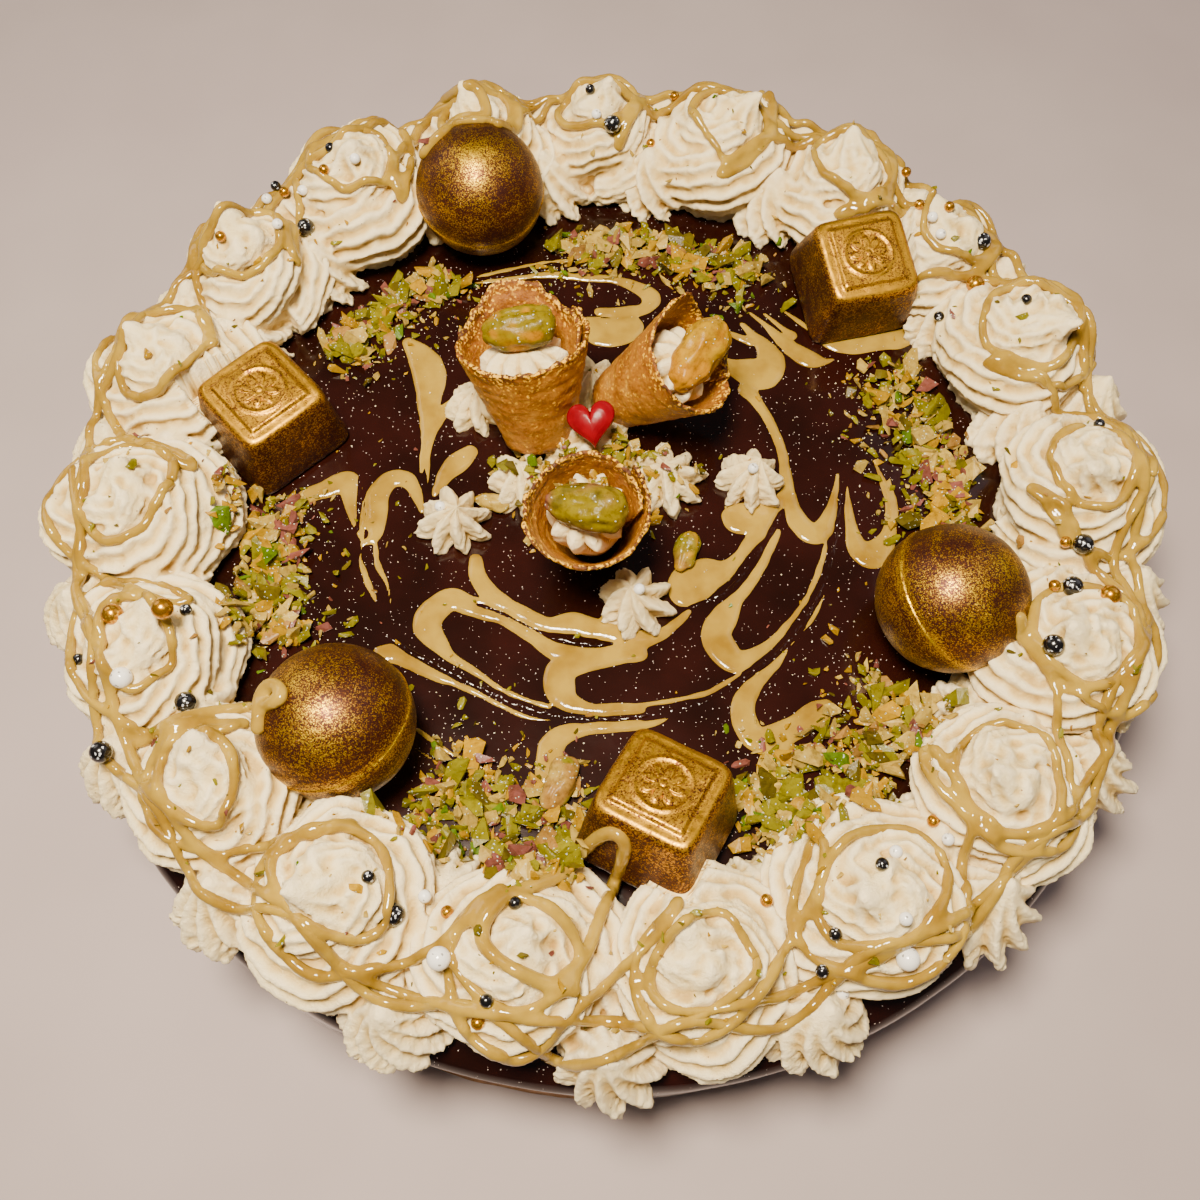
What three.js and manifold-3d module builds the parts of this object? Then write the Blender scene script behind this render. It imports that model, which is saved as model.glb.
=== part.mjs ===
// A glazed chocolate cheesecake, 24 cm across, dressed with a border of piped cream, drizzled
// caramel, gold-dusted chocolates, rolled wafers and chopped pistachio.
//
// Millimetres, +Z up, origin at the centre of the flat bottom. -Y is the front of the cake.
// Every topping is a closed solid of its own. Where two would press into each other, one of them
// is hollowed by the other's outline grown by GAP, so that they lie against each other.
import * as THREE from 'three';
import { mergeVertices } from 'three/addons/utils/BufferGeometryUtils.js';
import Module from 'manifold-3d';

const wasm = await Module();
wasm.setup();

// ---------------------------------------------------------------- driving dimensions
const GAP = 0.3; // clearance between pieces that lie against each other
const SMOOTHING = 0.02; // how far a joined surface may move when its smallest faces are merged
const TAU = 2 * Math.PI;
const ROUND_SIDES = 40; // sides that the body and its glaze have in plan

const BODY_HEIGHT = 38;
const BODY_FOOT_RADIUS = 120.6; // the baked side slumps outwards a little at its foot
const BODY_TOP_RADIUS = 117.4;
const BODY_EDGE = 1.5; // rounding of the body's bottom edge

const GLAZE_TOP = 43;
const GLAZE_RADIUS = 120.5; // widest point of the glaze's shoulder
const DRIP_SHORT = 9; // how far the glaze runs down the side between its drips
const DRIP_LONG = 19;

const RING_RADIUS = 102.5; // of the border's middle line
const RING_SHIFT = 3.5; // how far the border lies towards the back
const ROSETTE_RADIUS = { least: 14.2, most: 18.8 }; // as wide as its stretch of the border
const ROSETTE_HEIGHT = 25.5;
const ROSETTE_LOBES = 7;
const ROSETTE_TWIST = 70; // degrees that the ridges turn from foot to tip
// The small stars in the gaps of the border, with their rings measured from the middle of the cake.
const OUTER_STAR = { ring: 112.6, radius: 9.3, height: 12.5, lobes: 6 };
const INNER_STAR = { ring: 88, radius: 7.2, height: 10.5, lobes: 5 };
const STAR_LOBES = 6;
const STAR_TWIST = 25;
const STAR_OUTLINE_SIDES = 8;

const PEARL_RADIUS = 2.2;

const BALL_RADIUS = 15.6;
const BLOCK_FOOT = 26;
const BLOCK_TOP = 20;
const BLOCK_HEIGHT = 18;

const WAFER_LENGTH = 26;
const WAFER_MOUTH_RADIUS = 12.2;
const WAFER_FOOT_RADIUS = 5.6;
const WAFER_WALL = 1.2;
const WAFER_PITCH = 1.8; // how much the roll widens in one turn
const WAFER_TURNS = 1.12;
const WAFER_STATIONS = 17; // straight stretches that the roll is made of
const WAFER_FLAP = { height: 5.5, halfWidth: 38 }; // the tallest part of the torn rim; width in degrees

const KERNEL = { length: 16, width: 9.2, thickness: 8.2 };
const HEART_WIDTH = 9.6;

// The stars between the large rosettes, as azimuths in degrees from +X, anticlockwise. The border
// was piped by hand, so its spacing is uneven. One large rosette fills each stretch between two.
const STAR_AZIMUTHS = [
  -166.3, -147.7, -129.4, -109.5, -89.2, -70, -49.3, -30.8, -10.7, 13.7,
  32.8, 48.7, 65.4, 84, 99.3, 116, 137.2, 153.8, 173.9,
];
const INNER_STAR_AZIMUTHS = [-129.4, -109.5, -70, -30.8]; // the gaps with a small star inside too
// The large sugar pearls, as [rosette number, azimuth on the rosette, share of its radius].
const LARGE_PEARLS = [
  [2, 80, 0.5], [4, 60, 0.5], [8, 25, 0.5], [9, 110, 0.5], [12, 150, 0.5], [14, 250, 0.5],
  [17, 320, 0.5], [18, 60, 0.5],
];

const STYLE = {
  baked: new THREE.MeshStandardMaterial({ color: '#7a4a2b', roughness: 0.85, metalness: 0 }),
  glaze: new THREE.MeshStandardMaterial({ color: '#24100d', roughness: 0.18, metalness: 0 }),
  cream: new THREE.MeshStandardMaterial({ color: '#f2e6cf', roughness: 0.5, metalness: 0 }),
  gold: new THREE.MeshStandardMaterial({ color: '#8a6218', roughness: 0.4, metalness: 0.8 }),
  wafer: new THREE.MeshStandardMaterial({ color: '#c57a2c', roughness: 0.55, metalness: 0 }),
  nut: new THREE.MeshStandardMaterial({ color: '#a59f3f', roughness: 0.5, metalness: 0 }),
  sugar: new THREE.MeshStandardMaterial({ color: '#b80f1f', roughness: 0.2, metalness: 0 }),
};

// ---------------------------------------------------------------- small helpers
/** A repeatable source of random numbers between 0 and 1. */
function randomSource(seed) {
  let state = (seed * 2654435761) % 4294967296;
  return () => {
    state = (state * 1664525 + 1013904223) % 4294967296;
    return state / 4294967296;
  };
}

function polar(azimuth, radius, z = 0) {
  const angle = THREE.MathUtils.degToRad(azimuth);
  return new THREE.Vector3(radius * Math.cos(angle), radius * Math.sin(angle), z);
}

/** The difference between two azimuths, taken the short way round. */
function turnBetween(from, to) {
  return ((((to - from + 180) % 360) + 360) % 360) - 180;
}

/** Makes a geometry whose faces point outwards from points and triangles. */
function closedGeometry(points, triangles) {
  let volume = 0;
  for (const [a, b, c] of triangles) {
    volume += points[a].dot(new THREE.Vector3().crossVectors(points[b], points[c])) / 6;
  }
  const order = volume > 0 ? (t) => t : ([a, b, c]) => [a, c, b];
  const geometry = new THREE.BufferGeometry();
  const coordinates = points.flatMap((p) => p.toArray());
  geometry.setAttribute('position', new THREE.Float32BufferAttribute(coordinates, 3));
  geometry.setIndex(triangles.flatMap(order));
  return geometry;
}

/** Skins rows of points into one closed form, with a fan to a point at each end. */
function loft(rows, bottom, top) {
  const count = rows[0].length;
  const points = rows.flat();
  const triangles = [];
  for (let row = 0; row < rows.length - 1; row += 1) {
    for (let i = 0; i < count; i += 1) {
      const here = row * count + i;
      const next = row * count + ((i + 1) % count);
      triangles.push([here, next, next + count], [here, next + count, here + count]);
    }
  }
  const low = points.push(bottom) - 1;
  const high = points.push(top) - 1;
  const last = (rows.length - 1) * count;
  for (let i = 0; i < count; i += 1) {
    const next = (i + 1) % count;
    triangles.push([low, next, i], [high, last + i, last + next]);
  }
  return closedGeometry(points, triangles);
}

function middle(row) {
  return row.reduce((sum, p) => sum.add(p), new THREE.Vector3()).divideScalar(row.length);
}

function toSolid(geometry) {
  const bare = geometry.clone();
  bare.deleteAttribute('normal');
  bare.deleteAttribute('uv');
  const merged = mergeVertices(bare, 1e-4);
  return new wasm.Manifold(new wasm.Mesh({
    numProp: 3,
    vertProperties: merged.getAttribute('position').array,
    triVerts: new Uint32Array(merged.getIndex().array),
  }));
}

/** Cuts away what would sink into the glaze. */
function aboveGlaze(solid, grow = 0) {
  const width = 3 * GLAZE_RADIUS;
  const slab = new THREE.BoxGeometry(width, width, GLAZE_TOP);
  slab.translate(0, 0, GLAZE_TOP / 2 + GAP - grow);
  return solid.subtract(toSolid(slab));
}

/** Keeps the largest closed form: loose scraps go and a sealed hollow is filled. */
function toGeometry(solid) {
  const whole = solid.simplify(SMOOTHING).decompose()
    .reduce((best, piece) => (piece.volume() > best.volume() ? piece : best));
  const { vertProperties, triVerts } = whole.getMesh();
  const geometry = new THREE.BufferGeometry();
  geometry.setAttribute('position', new THREE.Float32BufferAttribute(vertProperties, 3));
  geometry.setIndex(Array.from(triVerts));
  return geometry;
}

/** Stands a geometry, made round +Z at the origin, at a place with its +Z along an axis. */
function stand(geometry, place, axis = new THREE.Vector3(0, 0, 1), turn = 0) {
  const up = new THREE.Vector3(0, 0, 1);
  const upright = new THREE.Quaternion().setFromUnitVectors(up, axis.clone().normalize());
  const spin = new THREE.Quaternion().setFromAxisAngle(up, THREE.MathUtils.degToRad(turn));
  const matrix = new THREE.Matrix4().compose(place, upright.multiply(spin), new THREE.Vector3(1, 1, 1));
  return geometry.clone().applyMatrix4(matrix);
}

// ---------------------------------------------------------------- cake and glaze
function bodyRadius(z) {
  return THREE.MathUtils.lerp(BODY_FOOT_RADIUS, BODY_TOP_RADIUS, z / BODY_HEIGHT);
}

function circleRow(radius, z, count) {
  return Array.from({ length: count }, (_, i) => polar((360 * i) / count, radius, z));
}

function bodyGeometry() {
  const rows = [
    circleRow(BODY_FOOT_RADIUS - BODY_EDGE, 0, ROUND_SIDES),
    circleRow(BODY_FOOT_RADIUS, BODY_EDGE, ROUND_SIDES),
    circleRow(BODY_TOP_RADIUS, BODY_HEIGHT, ROUND_SIDES),
  ];
  return loft(rows, new THREE.Vector3(), new THREE.Vector3(0, 0, BODY_HEIGHT));
}

/** How far the glaze has run down at an azimuth, from 0 between the drips to 1 in a long one. */
function dripShare(azimuth) {
  const angle = THREE.MathUtils.degToRad(azimuth);
  const wave = 0.5 + 0.2 * Math.sin(5 * angle + 0.6) + 0.2 * Math.sin(9 * angle + 2.1)
    + 0.16 * Math.sin(14 * angle + 4.4);
  return THREE.MathUtils.clamp(wave, 0, 1);
}

/** A cap of glaze with a round shoulder, and a skirt that bulges where it ran into drips. */
function glazeGeometry() {
  const inside = GLAZE_TOP - 4;
  const upper = [[], [], [], [], []];
  const lower = [[], []];
  for (let i = 0; i < ROUND_SIDES; i += 1) {
    const azimuth = (360 * i) / ROUND_SIDES;
    const drip = dripShare(azimuth);
    const end = GLAZE_TOP - THREE.MathUtils.lerp(DRIP_SHORT, DRIP_LONG, drip);
    const bulge = 0.6 + 2 * drip;
    upper[0].push(polar(azimuth, GLAZE_RADIUS - 9, GLAZE_TOP));
    upper[1].push(polar(azimuth, GLAZE_RADIUS - 2.8, GLAZE_TOP - 1.2));
    upper[2].push(polar(azimuth, GLAZE_RADIUS, GLAZE_TOP - 5));
    upper[3].push(polar(azimuth, bodyRadius(end) + 0.7 + bulge, end + 3));
    upper[4].push(polar(azimuth, bodyRadius(end) + 0.5 + bulge * 0.6, end));
    lower[0].push(polar(azimuth, bodyRadius(end) + GAP, end + 0.4));
    lower[1].push(polar(azimuth, BODY_TOP_RADIUS + GAP, inside - 0.7));
  }
  const rows = [...upper, ...lower].reverse();
  return loft(rows, new THREE.Vector3(0, 0, inside - 0.7), new THREE.Vector3(0, 0, GLAZE_TOP));
}

// ---------------------------------------------------------------- piped cream
// Each profile row is [share of the height, share of the radius, depth of the grooves].
const ROSETTE_PROFILE = [
  [0, 0.94, 0.1], [0.22, 1, 0.16], [0.42, 0.78, 0.2],
  [0.52, 0.66, 0.22], [0.78, 0.45, 0.28], [0.94, 0.18, 0.3],
];
// The loop of drizzle that rings a rosette below its tip: the rows that it swells, and how far round.
const LOOP = { rows: [2, 3], share: 0.84, sweep: 285 };
const STAR_PROFILE = [[0, 0.92, 0.3], [0.3, 1, 0.34], [0.72, 0.5, 0.34]];

/** A swirl pressed out of a star nozzle: lobed rows that turn as they rise to a drawn-out tip. */
function pipedGeometry(profile, { radius, height, lobes, twist, loopStart = null }) {
  const count = 2 * lobes;
  const rows = profile.map(([rise, share, groove], level) => Array.from({ length: count }, (_, i) => {
    const azimuth = (360 * i) / count;
    let reach = share * (i % 2 ? 1 - groove : 1);
    const fromStart = loopStart === null ? Infinity : (azimuth - loopStart + 720) % 360;
    if (LOOP.rows.includes(level) && fromStart < LOOP.sweep) {
      reach = LOOP.share * (level === LOOP.rows[0] ? 1 : 0.93);
    }
    return polar(azimuth + twist * rise, radius * reach, height * rise);
  }));
  return loft(rows, new THREE.Vector3(), new THREE.Vector3(0, 0, height));
}

/** The height of a swirl's flank at a share of its radius, from its profile. */
function profileHeight(profile, share) {
  for (let i = profile.length - 1; i > 1; i -= 1) {
    const [lowRise, lowShare] = profile[i - 1];
    const [highRise, highShare] = profile[i];
    if (share <= lowShare) {
      const t = THREE.MathUtils.clamp((share - lowShare) / (highShare - lowShare), 0, 1);
      return THREE.MathUtils.lerp(lowRise, highRise, t);
    }
  }
  return 0;
}

function pearlGeometry(radius, height, azimuth, share) {
  const level = height * profileHeight(ROSETTE_PROFILE, share);
  const pearl = new THREE.IcosahedronGeometry(PEARL_RADIUS, 0);
  return stand(pearl, polar(azimuth, radius * share, level + 0.5 * PEARL_RADIUS));
}

/** A large block on one side of the upright plane through the cake's middle at an azimuth. */
function beyondAzimuth(azimuth, side) {
  const reach = 200;
  const block = new THREE.BoxGeometry(reach, reach, reach);
  block.translate(reach / 2, side * (reach / 2 - GAP / 2), reach / 4);
  return toSolid(stand(block, new THREE.Vector3(), undefined, azimuth));
}

// ---------------------------------------------------------------- outlines that push into others
function cylinderSolid(x, y, radius, height) {
  const drum = new THREE.CylinderGeometry(radius, radius, height, 11).rotateX(Math.PI / 2);
  return toSolid(stand(drum, new THREE.Vector3(x, y, GLAZE_TOP + height / 2 - 1)));
}

const BALLS = [
  { name: 'gold_ball_1', x: -32.6, y: 82, tilt: new THREE.Vector3(0.05, -0.2, 1) },
  { name: 'gold_ball_2', x: 70.9, y: -25.4, tilt: new THREE.Vector3(0.75, 0.1, 1) },
  { name: 'gold_ball_3', x: -52.6, y: -54.4, tilt: new THREE.Vector3(-0.35, 0.3, 1) },
];
const BALL_Z = GLAZE_TOP + GAP + BALL_RADIUS;

/** A moulded ball: two half shells that meet in a shallow groove. */
function ballGeometry(radius) {
  const latitudes = [-60, -32, -4, 0, 4, 32, 60];
  const rows = latitudes.map((latitude) => {
    const angle = THREE.MathUtils.degToRad(latitude);
    const reach = latitude === 0 ? radius - 0.7 : radius;
    return circleRow(reach * Math.cos(angle), reach * Math.sin(angle), 14);
  });
  return loft(rows, new THREE.Vector3(0, 0, -radius), new THREE.Vector3(0, 0, radius));
}

const BLOCKS = [
  { name: 'gold_block_1', x: -78, y: 21, turn: 44, lean: new THREE.Vector3(0.06, -0.06, 1) },
  { name: 'gold_block_2', x: 58.6, y: 64, turn: 14, lean: new THREE.Vector3(0.04, -0.24, 1) },
  { name: 'gold_block_3', x: 10.6, y: -72, turn: -28, lean: new THREE.Vector3(0.02, 0.26, 1) },
];

/** A square cut at its corners, as eight points. */
function squareRow(side, cut, z) {
  const half = side / 2;
  const inner = half - cut;
  return [[half, -inner], [half, inner], [inner, half], [-inner, half], [-half, inner], [-half, -inner],
    [-inner, -half], [inner, -half]].map(([x, y]) => new THREE.Vector3(x, y, z));
}

/** A moulded chocolate: a soft-edged block that narrows upwards, with a low round medallion. */
function blockGeometry(grow = 0) {
  const rows = [
    squareRow(BLOCK_FOOT - 1 + 2 * grow, 3, -grow),
    squareRow(BLOCK_FOOT + 2 * grow, 3, 1.4),
    squareRow(BLOCK_TOP + 1.6 + 2 * grow, 2.6, BLOCK_HEIGHT - 1.8 + grow),
    squareRow(BLOCK_TOP - 1.6 + 2 * grow, 2.6, BLOCK_HEIGHT + grow),
  ];
  if (grow === 0) {
    rows.push(squareRow(12, 3.5, BLOCK_HEIGHT), squareRow(11, 3.2, BLOCK_HEIGHT + 0.8));
  }
  return loft(rows, middle(rows[0]), middle(rows[rows.length - 1]));
}

/** Leans a block as its neighbours prop it, with its lowest corner just on the glaze. */
function placeBlock({ x, y, turn, lean }, geometry) {
  const leaning = stand(blockGeometry(), new THREE.Vector3(), lean, turn);
  leaning.computeBoundingBox();
  const lift = GLAZE_TOP + GAP - leaning.boundingBox.min.z;
  return stand(geometry, new THREE.Vector3(x, y, lift), lean, turn);
}

// ---------------------------------------------------------------- rolled wafers and their filling
const WAFERS = [
  {
    key: 'left', x: -16.6, y: 20.4, axis: new THREE.Vector3(-0.12, 0.34, 0.93),
    slim: 1, flap: 100, kernel: { turn: 8, lean: new THREE.Vector3(0, -0.1, 1), lift: 0.5 },
  },
  {
    key: 'right', x: 0.8, y: 29, axis: new THREE.Vector3(0.62, -0.1, 0.76),
    slim: 0.84, flap: 130, kernel: { turn: 73, lean: new THREE.Vector3(-0.14, -0.47, 0.87), lift: 0.8 },
  },
  {
    key: 'front', x: -3.4, y: -5.5, axis: new THREE.Vector3(-0.04, -0.26, 0.96),
    slim: 0.86, flap: 215, kernel: { turn: -11, lean: new THREE.Vector3(-0.11, 0, 1), lift: 0 },
  },
];

/** Narrows what is rolled round a wafer's own axis. */
function slimmed(wafer, geometry) {
  return geometry.scale(wafer.slim, wafer.slim, 1);
}

/** Leans a geometry made round +Z as its wafer leans, with the wafer's foot just on the glaze. */
function placeInWafer(wafer, geometry) {
  const axis = wafer.axis.clone().normalize();
  const rim = wafer.slim * (WAFER_FOOT_RADIUS + WAFER_PITCH * WAFER_TURNS + WAFER_WALL);
  const rise = rim * Math.sqrt(1 - axis.z * axis.z);
  return stand(geometry, new THREE.Vector3(wafer.x, wafer.y, GLAZE_TOP + GAP + rise), axis);
}

function waferInner(z) {
  return THREE.MathUtils.lerp(WAFER_FOOT_RADIUS, WAFER_MOUTH_RADIUS, z / WAFER_LENGTH);
}

/** A thin wafer rolled into a cone: a band whose outer end overlaps its start, with a torn rim. */
function waferGeometry(flap, seed) {
  const random = randomSource(seed);
  const rows = [];
  for (let i = 0; i <= WAFER_STATIONS; i += 1) {
    const turned = (WAFER_TURNS * 360 * i) / WAFER_STATIONS;
    const widen = (WAFER_PITCH * turned) / 360;
    const fromFlap = turnBetween(flap, turned) / WAFER_FLAP.halfWidth;
    const top = WAFER_LENGTH + WAFER_FLAP.height * Math.exp(-fromFlap * fromFlap) + 1.3 * (random() - 0.5);
    rows.push([
      polar(turned, waferInner(0) + widen + WAFER_WALL, 0),
      polar(turned, waferInner(top) + widen + WAFER_WALL, top),
      polar(turned, waferInner(top) + widen, top),
      polar(turned, waferInner(0) + widen, 0),
    ]);
  }
  return loft(rows, middle(rows[0]), middle(rows[WAFER_STATIONS]));
}

/** The full outline of a rolled wafer, grown, which hollows what lies against it. */
function waferOutline(wafer, grow) {
  const extra = WAFER_WALL + WAFER_PITCH * WAFER_TURNS + grow / wafer.slim;
  const rows = [-grow, WAFER_LENGTH + 7].map((z) => circleRow(waferInner(z) + extra, z, 16));
  return toSolid(placeInWafer(wafer, slimmed(wafer, loft(rows, middle(rows[0]), middle(rows[1])))));
}

/** A pistachio kernel: a rounded form that lies along X, grown where it hollows another piece. */
function kernelGeometry({ length, width, thickness }, grow = 0) {
  const kernel = new THREE.SphereGeometry(0.5, 7, 5).rotateZ(Math.PI / 2);
  return kernel.scale(length + 2 * grow, width + 2 * grow, thickness + 2 * grow);
}

function placeKernel(wafer, grow = 0) {
  const { turn, lean, lift } = wafer.kernel;
  const place = new THREE.Vector3(0, 0, WAFER_LENGTH + 1.8 + lift);
  return placeInWafer(wafer, stand(kernelGeometry(KERNEL, grow), place, lean, turn));
}

/** The cream inside a wafer, which swells into a ridged crown under the kernel. */
function fillingGeometry() {
  const slack = GAP + 0.3;
  const rows = [[3, 1], [WAFER_LENGTH - 4, 1], [WAFER_LENGTH - 0.5, 0.84], [WAFER_LENGTH + 1.5, 0.5]]
    .map(([z, share], level) => Array.from({ length: 10 }, (_, i) => {
      const groove = level > 1 && i % 2 ? 0.84 : 1;
      return polar((360 * i) / 10, (waferInner(Math.min(z, WAFER_LENGTH)) - slack) * share * groove, z);
    }));
  return loft(rows, middle(rows[0]), new THREE.Vector3(0, 0, WAFER_LENGTH + 2));
}

// ---------------------------------------------------------------- sugar heart, nuts and small stars
function heartGeometry() {
  const half = HEART_WIDTH / 2 - 0.7;
  const shape = new THREE.Shape();
  shape.moveTo(0, half * 0.55);
  shape.bezierCurveTo(half * 0.2, half * 1.05, half, half * 1.05, half, half * 0.35);
  shape.bezierCurveTo(half, -half * 0.25, half * 0.35, -half * 0.6, 0, -half);
  shape.bezierCurveTo(-half * 0.35, -half * 0.6, -half, -half * 0.25, -half, half * 0.35);
  shape.bezierCurveTo(-half, half * 1.05, -half * 0.2, half * 1.05, 0, half * 0.55);
  return new THREE.ExtrudeGeometry(shape, {
    depth: 1.6, bevelThickness: 0.9, bevelSize: 0.7, bevelSegments: 1, curveSegments: 3,
  });
}
const HEART_PLACE = new THREE.Vector3(-3.9, 15.6, 58.2);
const HEART_AXIS = new THREE.Vector3(-0.12, -0.5, 0.86);

// Drifts of chopped nut inside the border: where each starts and ends round the cake in degrees,
// how far its inner edge is from the middle, and how many large pieces stand out of it.
const DRIFTS = [
  { key: 'back', from: 62, to: 101, inner: 71, pieces: 8 },
  { key: 'back_left', from: 119, to: 147, inner: 72, pieces: 6 },
  { key: 'left', from: 176, to: 206, inner: 69, pieces: 6 },
  { key: 'front_left', from: 238, to: 268, inner: 63, pieces: 6 },
  { key: 'front_right', from: 291, to: 330, inner: 66, pieces: 7 },
  { key: 'right', from: 358, to: 393, inner: 69, pieces: 7 },
];
const DRIFT_OUTER = 84.5;
const DRIFT_HEIGHT = 2.6;

/** One chopped piece: a faceted lump stretched and turned at random. */
function chipGeometry(random, size) {
  const chip = new THREE.CylinderGeometry(0.7 * size, size, 1.6 * size, 4).rotateX(Math.PI / 2);
  chip.scale(0.75 + 0.6 * random(), 0.6 + 0.4 * random(), 0.45 + 0.3 * random());
  chip.rotateZ(TAU * random());
  chip.rotateX(1.4 * (random() - 0.5));
  return chip;
}

function driftSolid(drift, index) {
  const random = randomSource(40 + index);
  const stations = 5;
  const base = GLAZE_TOP + GAP;
  const rows = Array.from({ length: stations + 1 }, (_, i) => {
    const along = i / stations;
    const azimuth = THREE.MathUtils.lerp(drift.from, drift.to, along);
    const swell = 0.45 + 0.55 * Math.sin(Math.PI * along);
    const inner = drift.inner + 3 * (1 - swell) + 3 * (random() - 0.5);
    const height = DRIFT_HEIGHT * swell * (0.8 + 0.4 * random());
    return [
      polar(azimuth, inner, base), polar(azimuth, inner + 3, base + height * 0.6),
      polar(azimuth, (inner + DRIFT_OUTER) / 2, base + height),
      polar(azimuth, DRIFT_OUTER - 2, base + height * 0.7), polar(azimuth, DRIFT_OUTER, base),
    ];
  });
  let solid = toSolid(loft(rows, middle(rows[0]), middle(rows[stations])));
  for (let i = 0; i < drift.pieces; i += 1) {
    const along = (i + random() * 0.8) / drift.pieces;
    const azimuth = THREE.MathUtils.lerp(drift.from + 3, drift.to - 3, along);
    const radius = THREE.MathUtils.lerp(drift.inner + 4, DRIFT_OUTER - 4, random());
    const chip = chipGeometry(random, 2.5 + 0.9 * random());
    const place = polar(azimuth, radius, base + DRIFT_HEIGHT);
    solid = solid.add(toSolid(stand(chip, place)));
  }
  return solid;
}

// Small stars piped on the glaze: three that stand free, and four that carry the wafers.
const GLAZE_STARS = [
  { name: 'cream_star_left', x: -34.8, y: -2.2, radius: 8, height: 10 },
  { name: 'cream_star_right', x: 32.6, y: 9.2, radius: 7.6, height: 10 },
  { name: 'cream_star_front', x: 6.4, y: -21, radius: 8, height: 10 },
  { name: 'centre_star_left', x: -18.6, y: 7.4, radius: 8.4, height: 9.5 },
  { name: 'centre_star_right', x: 13.4, y: 9.6, radius: 9, height: 9.5 },
  { name: 'centre_star_back', x: -4, y: 34.5, radius: 8, height: 9 },
  { name: 'centre_star_side', x: -31, y: 29, radius: 7.5, height: 8 },
];

// Halves of pistachio that lie singly, as place, heading and length.
const LOOSE_NUTS = [
  { x: -26.8, y: 3.4, turn: -10, length: 8.5 },
  { x: 17.6, y: -8.5, turn: 72, length: 10.5 },
  { x: -9.2, y: -62, turn: 62, length: 12 },
  { x: -11.5, y: -75, turn: 75, length: 9 },
];

function placeLooseNut({ x, y, turn, length }, grow = 0) {
  const half = kernelGeometry({ length, width: 0.55 * length, thickness: 0.6 * length }, grow);
  const place = new THREE.Vector3(x, y, GLAZE_TOP + GAP + 0.08 * length);
  return aboveGlaze(toSolid(stand(half, place, undefined, turn)), grow);
}

/** A mound of cream between the wafers, with the chopped nut that covers it. */
const MOUND = { x: -3, y: 15.5, radius: 11, height: 12.5, pieces: 6 };

function moundSolid() {
  const random = randomSource(91);
  const rows = [[0, 1], [0.35, 0.93], [0.72, 0.7], [0.94, 0.34]].map(([rise, share]) => {
    const row = circleRow(MOUND.radius * share, MOUND.height * rise, 9);
    return row.map((p) => p.multiplyScalar(1 + 0.1 * (random() - 0.5)).setZ(MOUND.height * rise));
  });
  const dome = loft(rows, new THREE.Vector3(), new THREE.Vector3(0, 0, MOUND.height));
  let solid = toSolid(stand(dome, new THREE.Vector3(MOUND.x, MOUND.y, GLAZE_TOP + GAP)));
  for (let i = 0; i < MOUND.pieces; i += 1) {
    const share = 0.35 + 0.6 * Math.sqrt((i + 0.5) / MOUND.pieces);
    const level = MOUND.height * (1 - share * share);
    const place = polar(200 + 137.5 * i, MOUND.radius * share, GLAZE_TOP + GAP + level);
    place.x += MOUND.x;
    place.y += MOUND.y;
    solid = solid.add(toSolid(stand(chipGeometry(random, 2.2 + 0.6 * random()), place)));
  }
  return solid;
}

// ---------------------------------------------------------------- assembly
const cake = new THREE.Group();

function addNode(name, geometry, material) {
  const flat = geometry.index ? geometry.toNonIndexed() : geometry;
  flat.computeVertexNormals();
  const mesh = new THREE.Mesh(flat, material);
  mesh.name = name;
  cake.add(mesh);
}

/** Cuts away whatever lies inside any of the outlines, and what would sink into the glaze. */
function hollowed(solid, outlines) {
  return outlines.reduce((left, outline) => left.subtract(outline), aboveGlaze(solid));
}

addNode('cake_body', bodyGeometry(), STYLE.baked);
addNode('chocolate_glaze', glazeGeometry(), STYLE.glaze);

const pressedIn = [
  ...BALLS.map(({ x, y }) => {
    const outline = new THREE.SphereGeometry(BALL_RADIUS + GAP + 0.5, 12, 8);
    return toSolid(stand(outline, new THREE.Vector3(x, y, BALL_Z)));
  }),
  ...BLOCKS.map((block) => toSolid(placeBlock(block, blockGeometry(GAP)))),
];

/** The kinds of star piped in one gap of the border: one outside, and in some gaps one inside. */
function gapStars(azimuth) {
  return INNER_STAR_AZIMUTHS.includes(azimuth) ? [OUTER_STAR, INNER_STAR] : [OUTER_STAR];
}

function gapStar(azimuth, { ring, radius, height, lobes }) {
  const star = pipedGeometry(STAR_PROFILE, { radius, height, lobes, twist: STAR_TWIST });
  return toSolid(stand(star, polar(azimuth, ring, GLAZE_TOP + GAP), undefined, azimuth));
}

/** The plain outline round a gap's star, which the next swirl is pressed against. */
function gapStarOutline(azimuth, { ring, radius, height }) {
  const reach = (radius + GAP) / Math.cos(Math.PI / STAR_OUTLINE_SIDES);
  const rows = [[-GAP, 1], [0.34 * height, 1], [0.78 * height, 0.52]]
    .map(([z, share]) => circleRow(reach * share, z, STAR_OUTLINE_SIDES));
  const outline = loft(rows, middle(rows[0]), new THREE.Vector3(0, 0, height + 2 * GAP));
  return toSolid(stand(outline, polar(azimuth, ring, GLAZE_TOP + GAP), undefined, azimuth));
}

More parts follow.
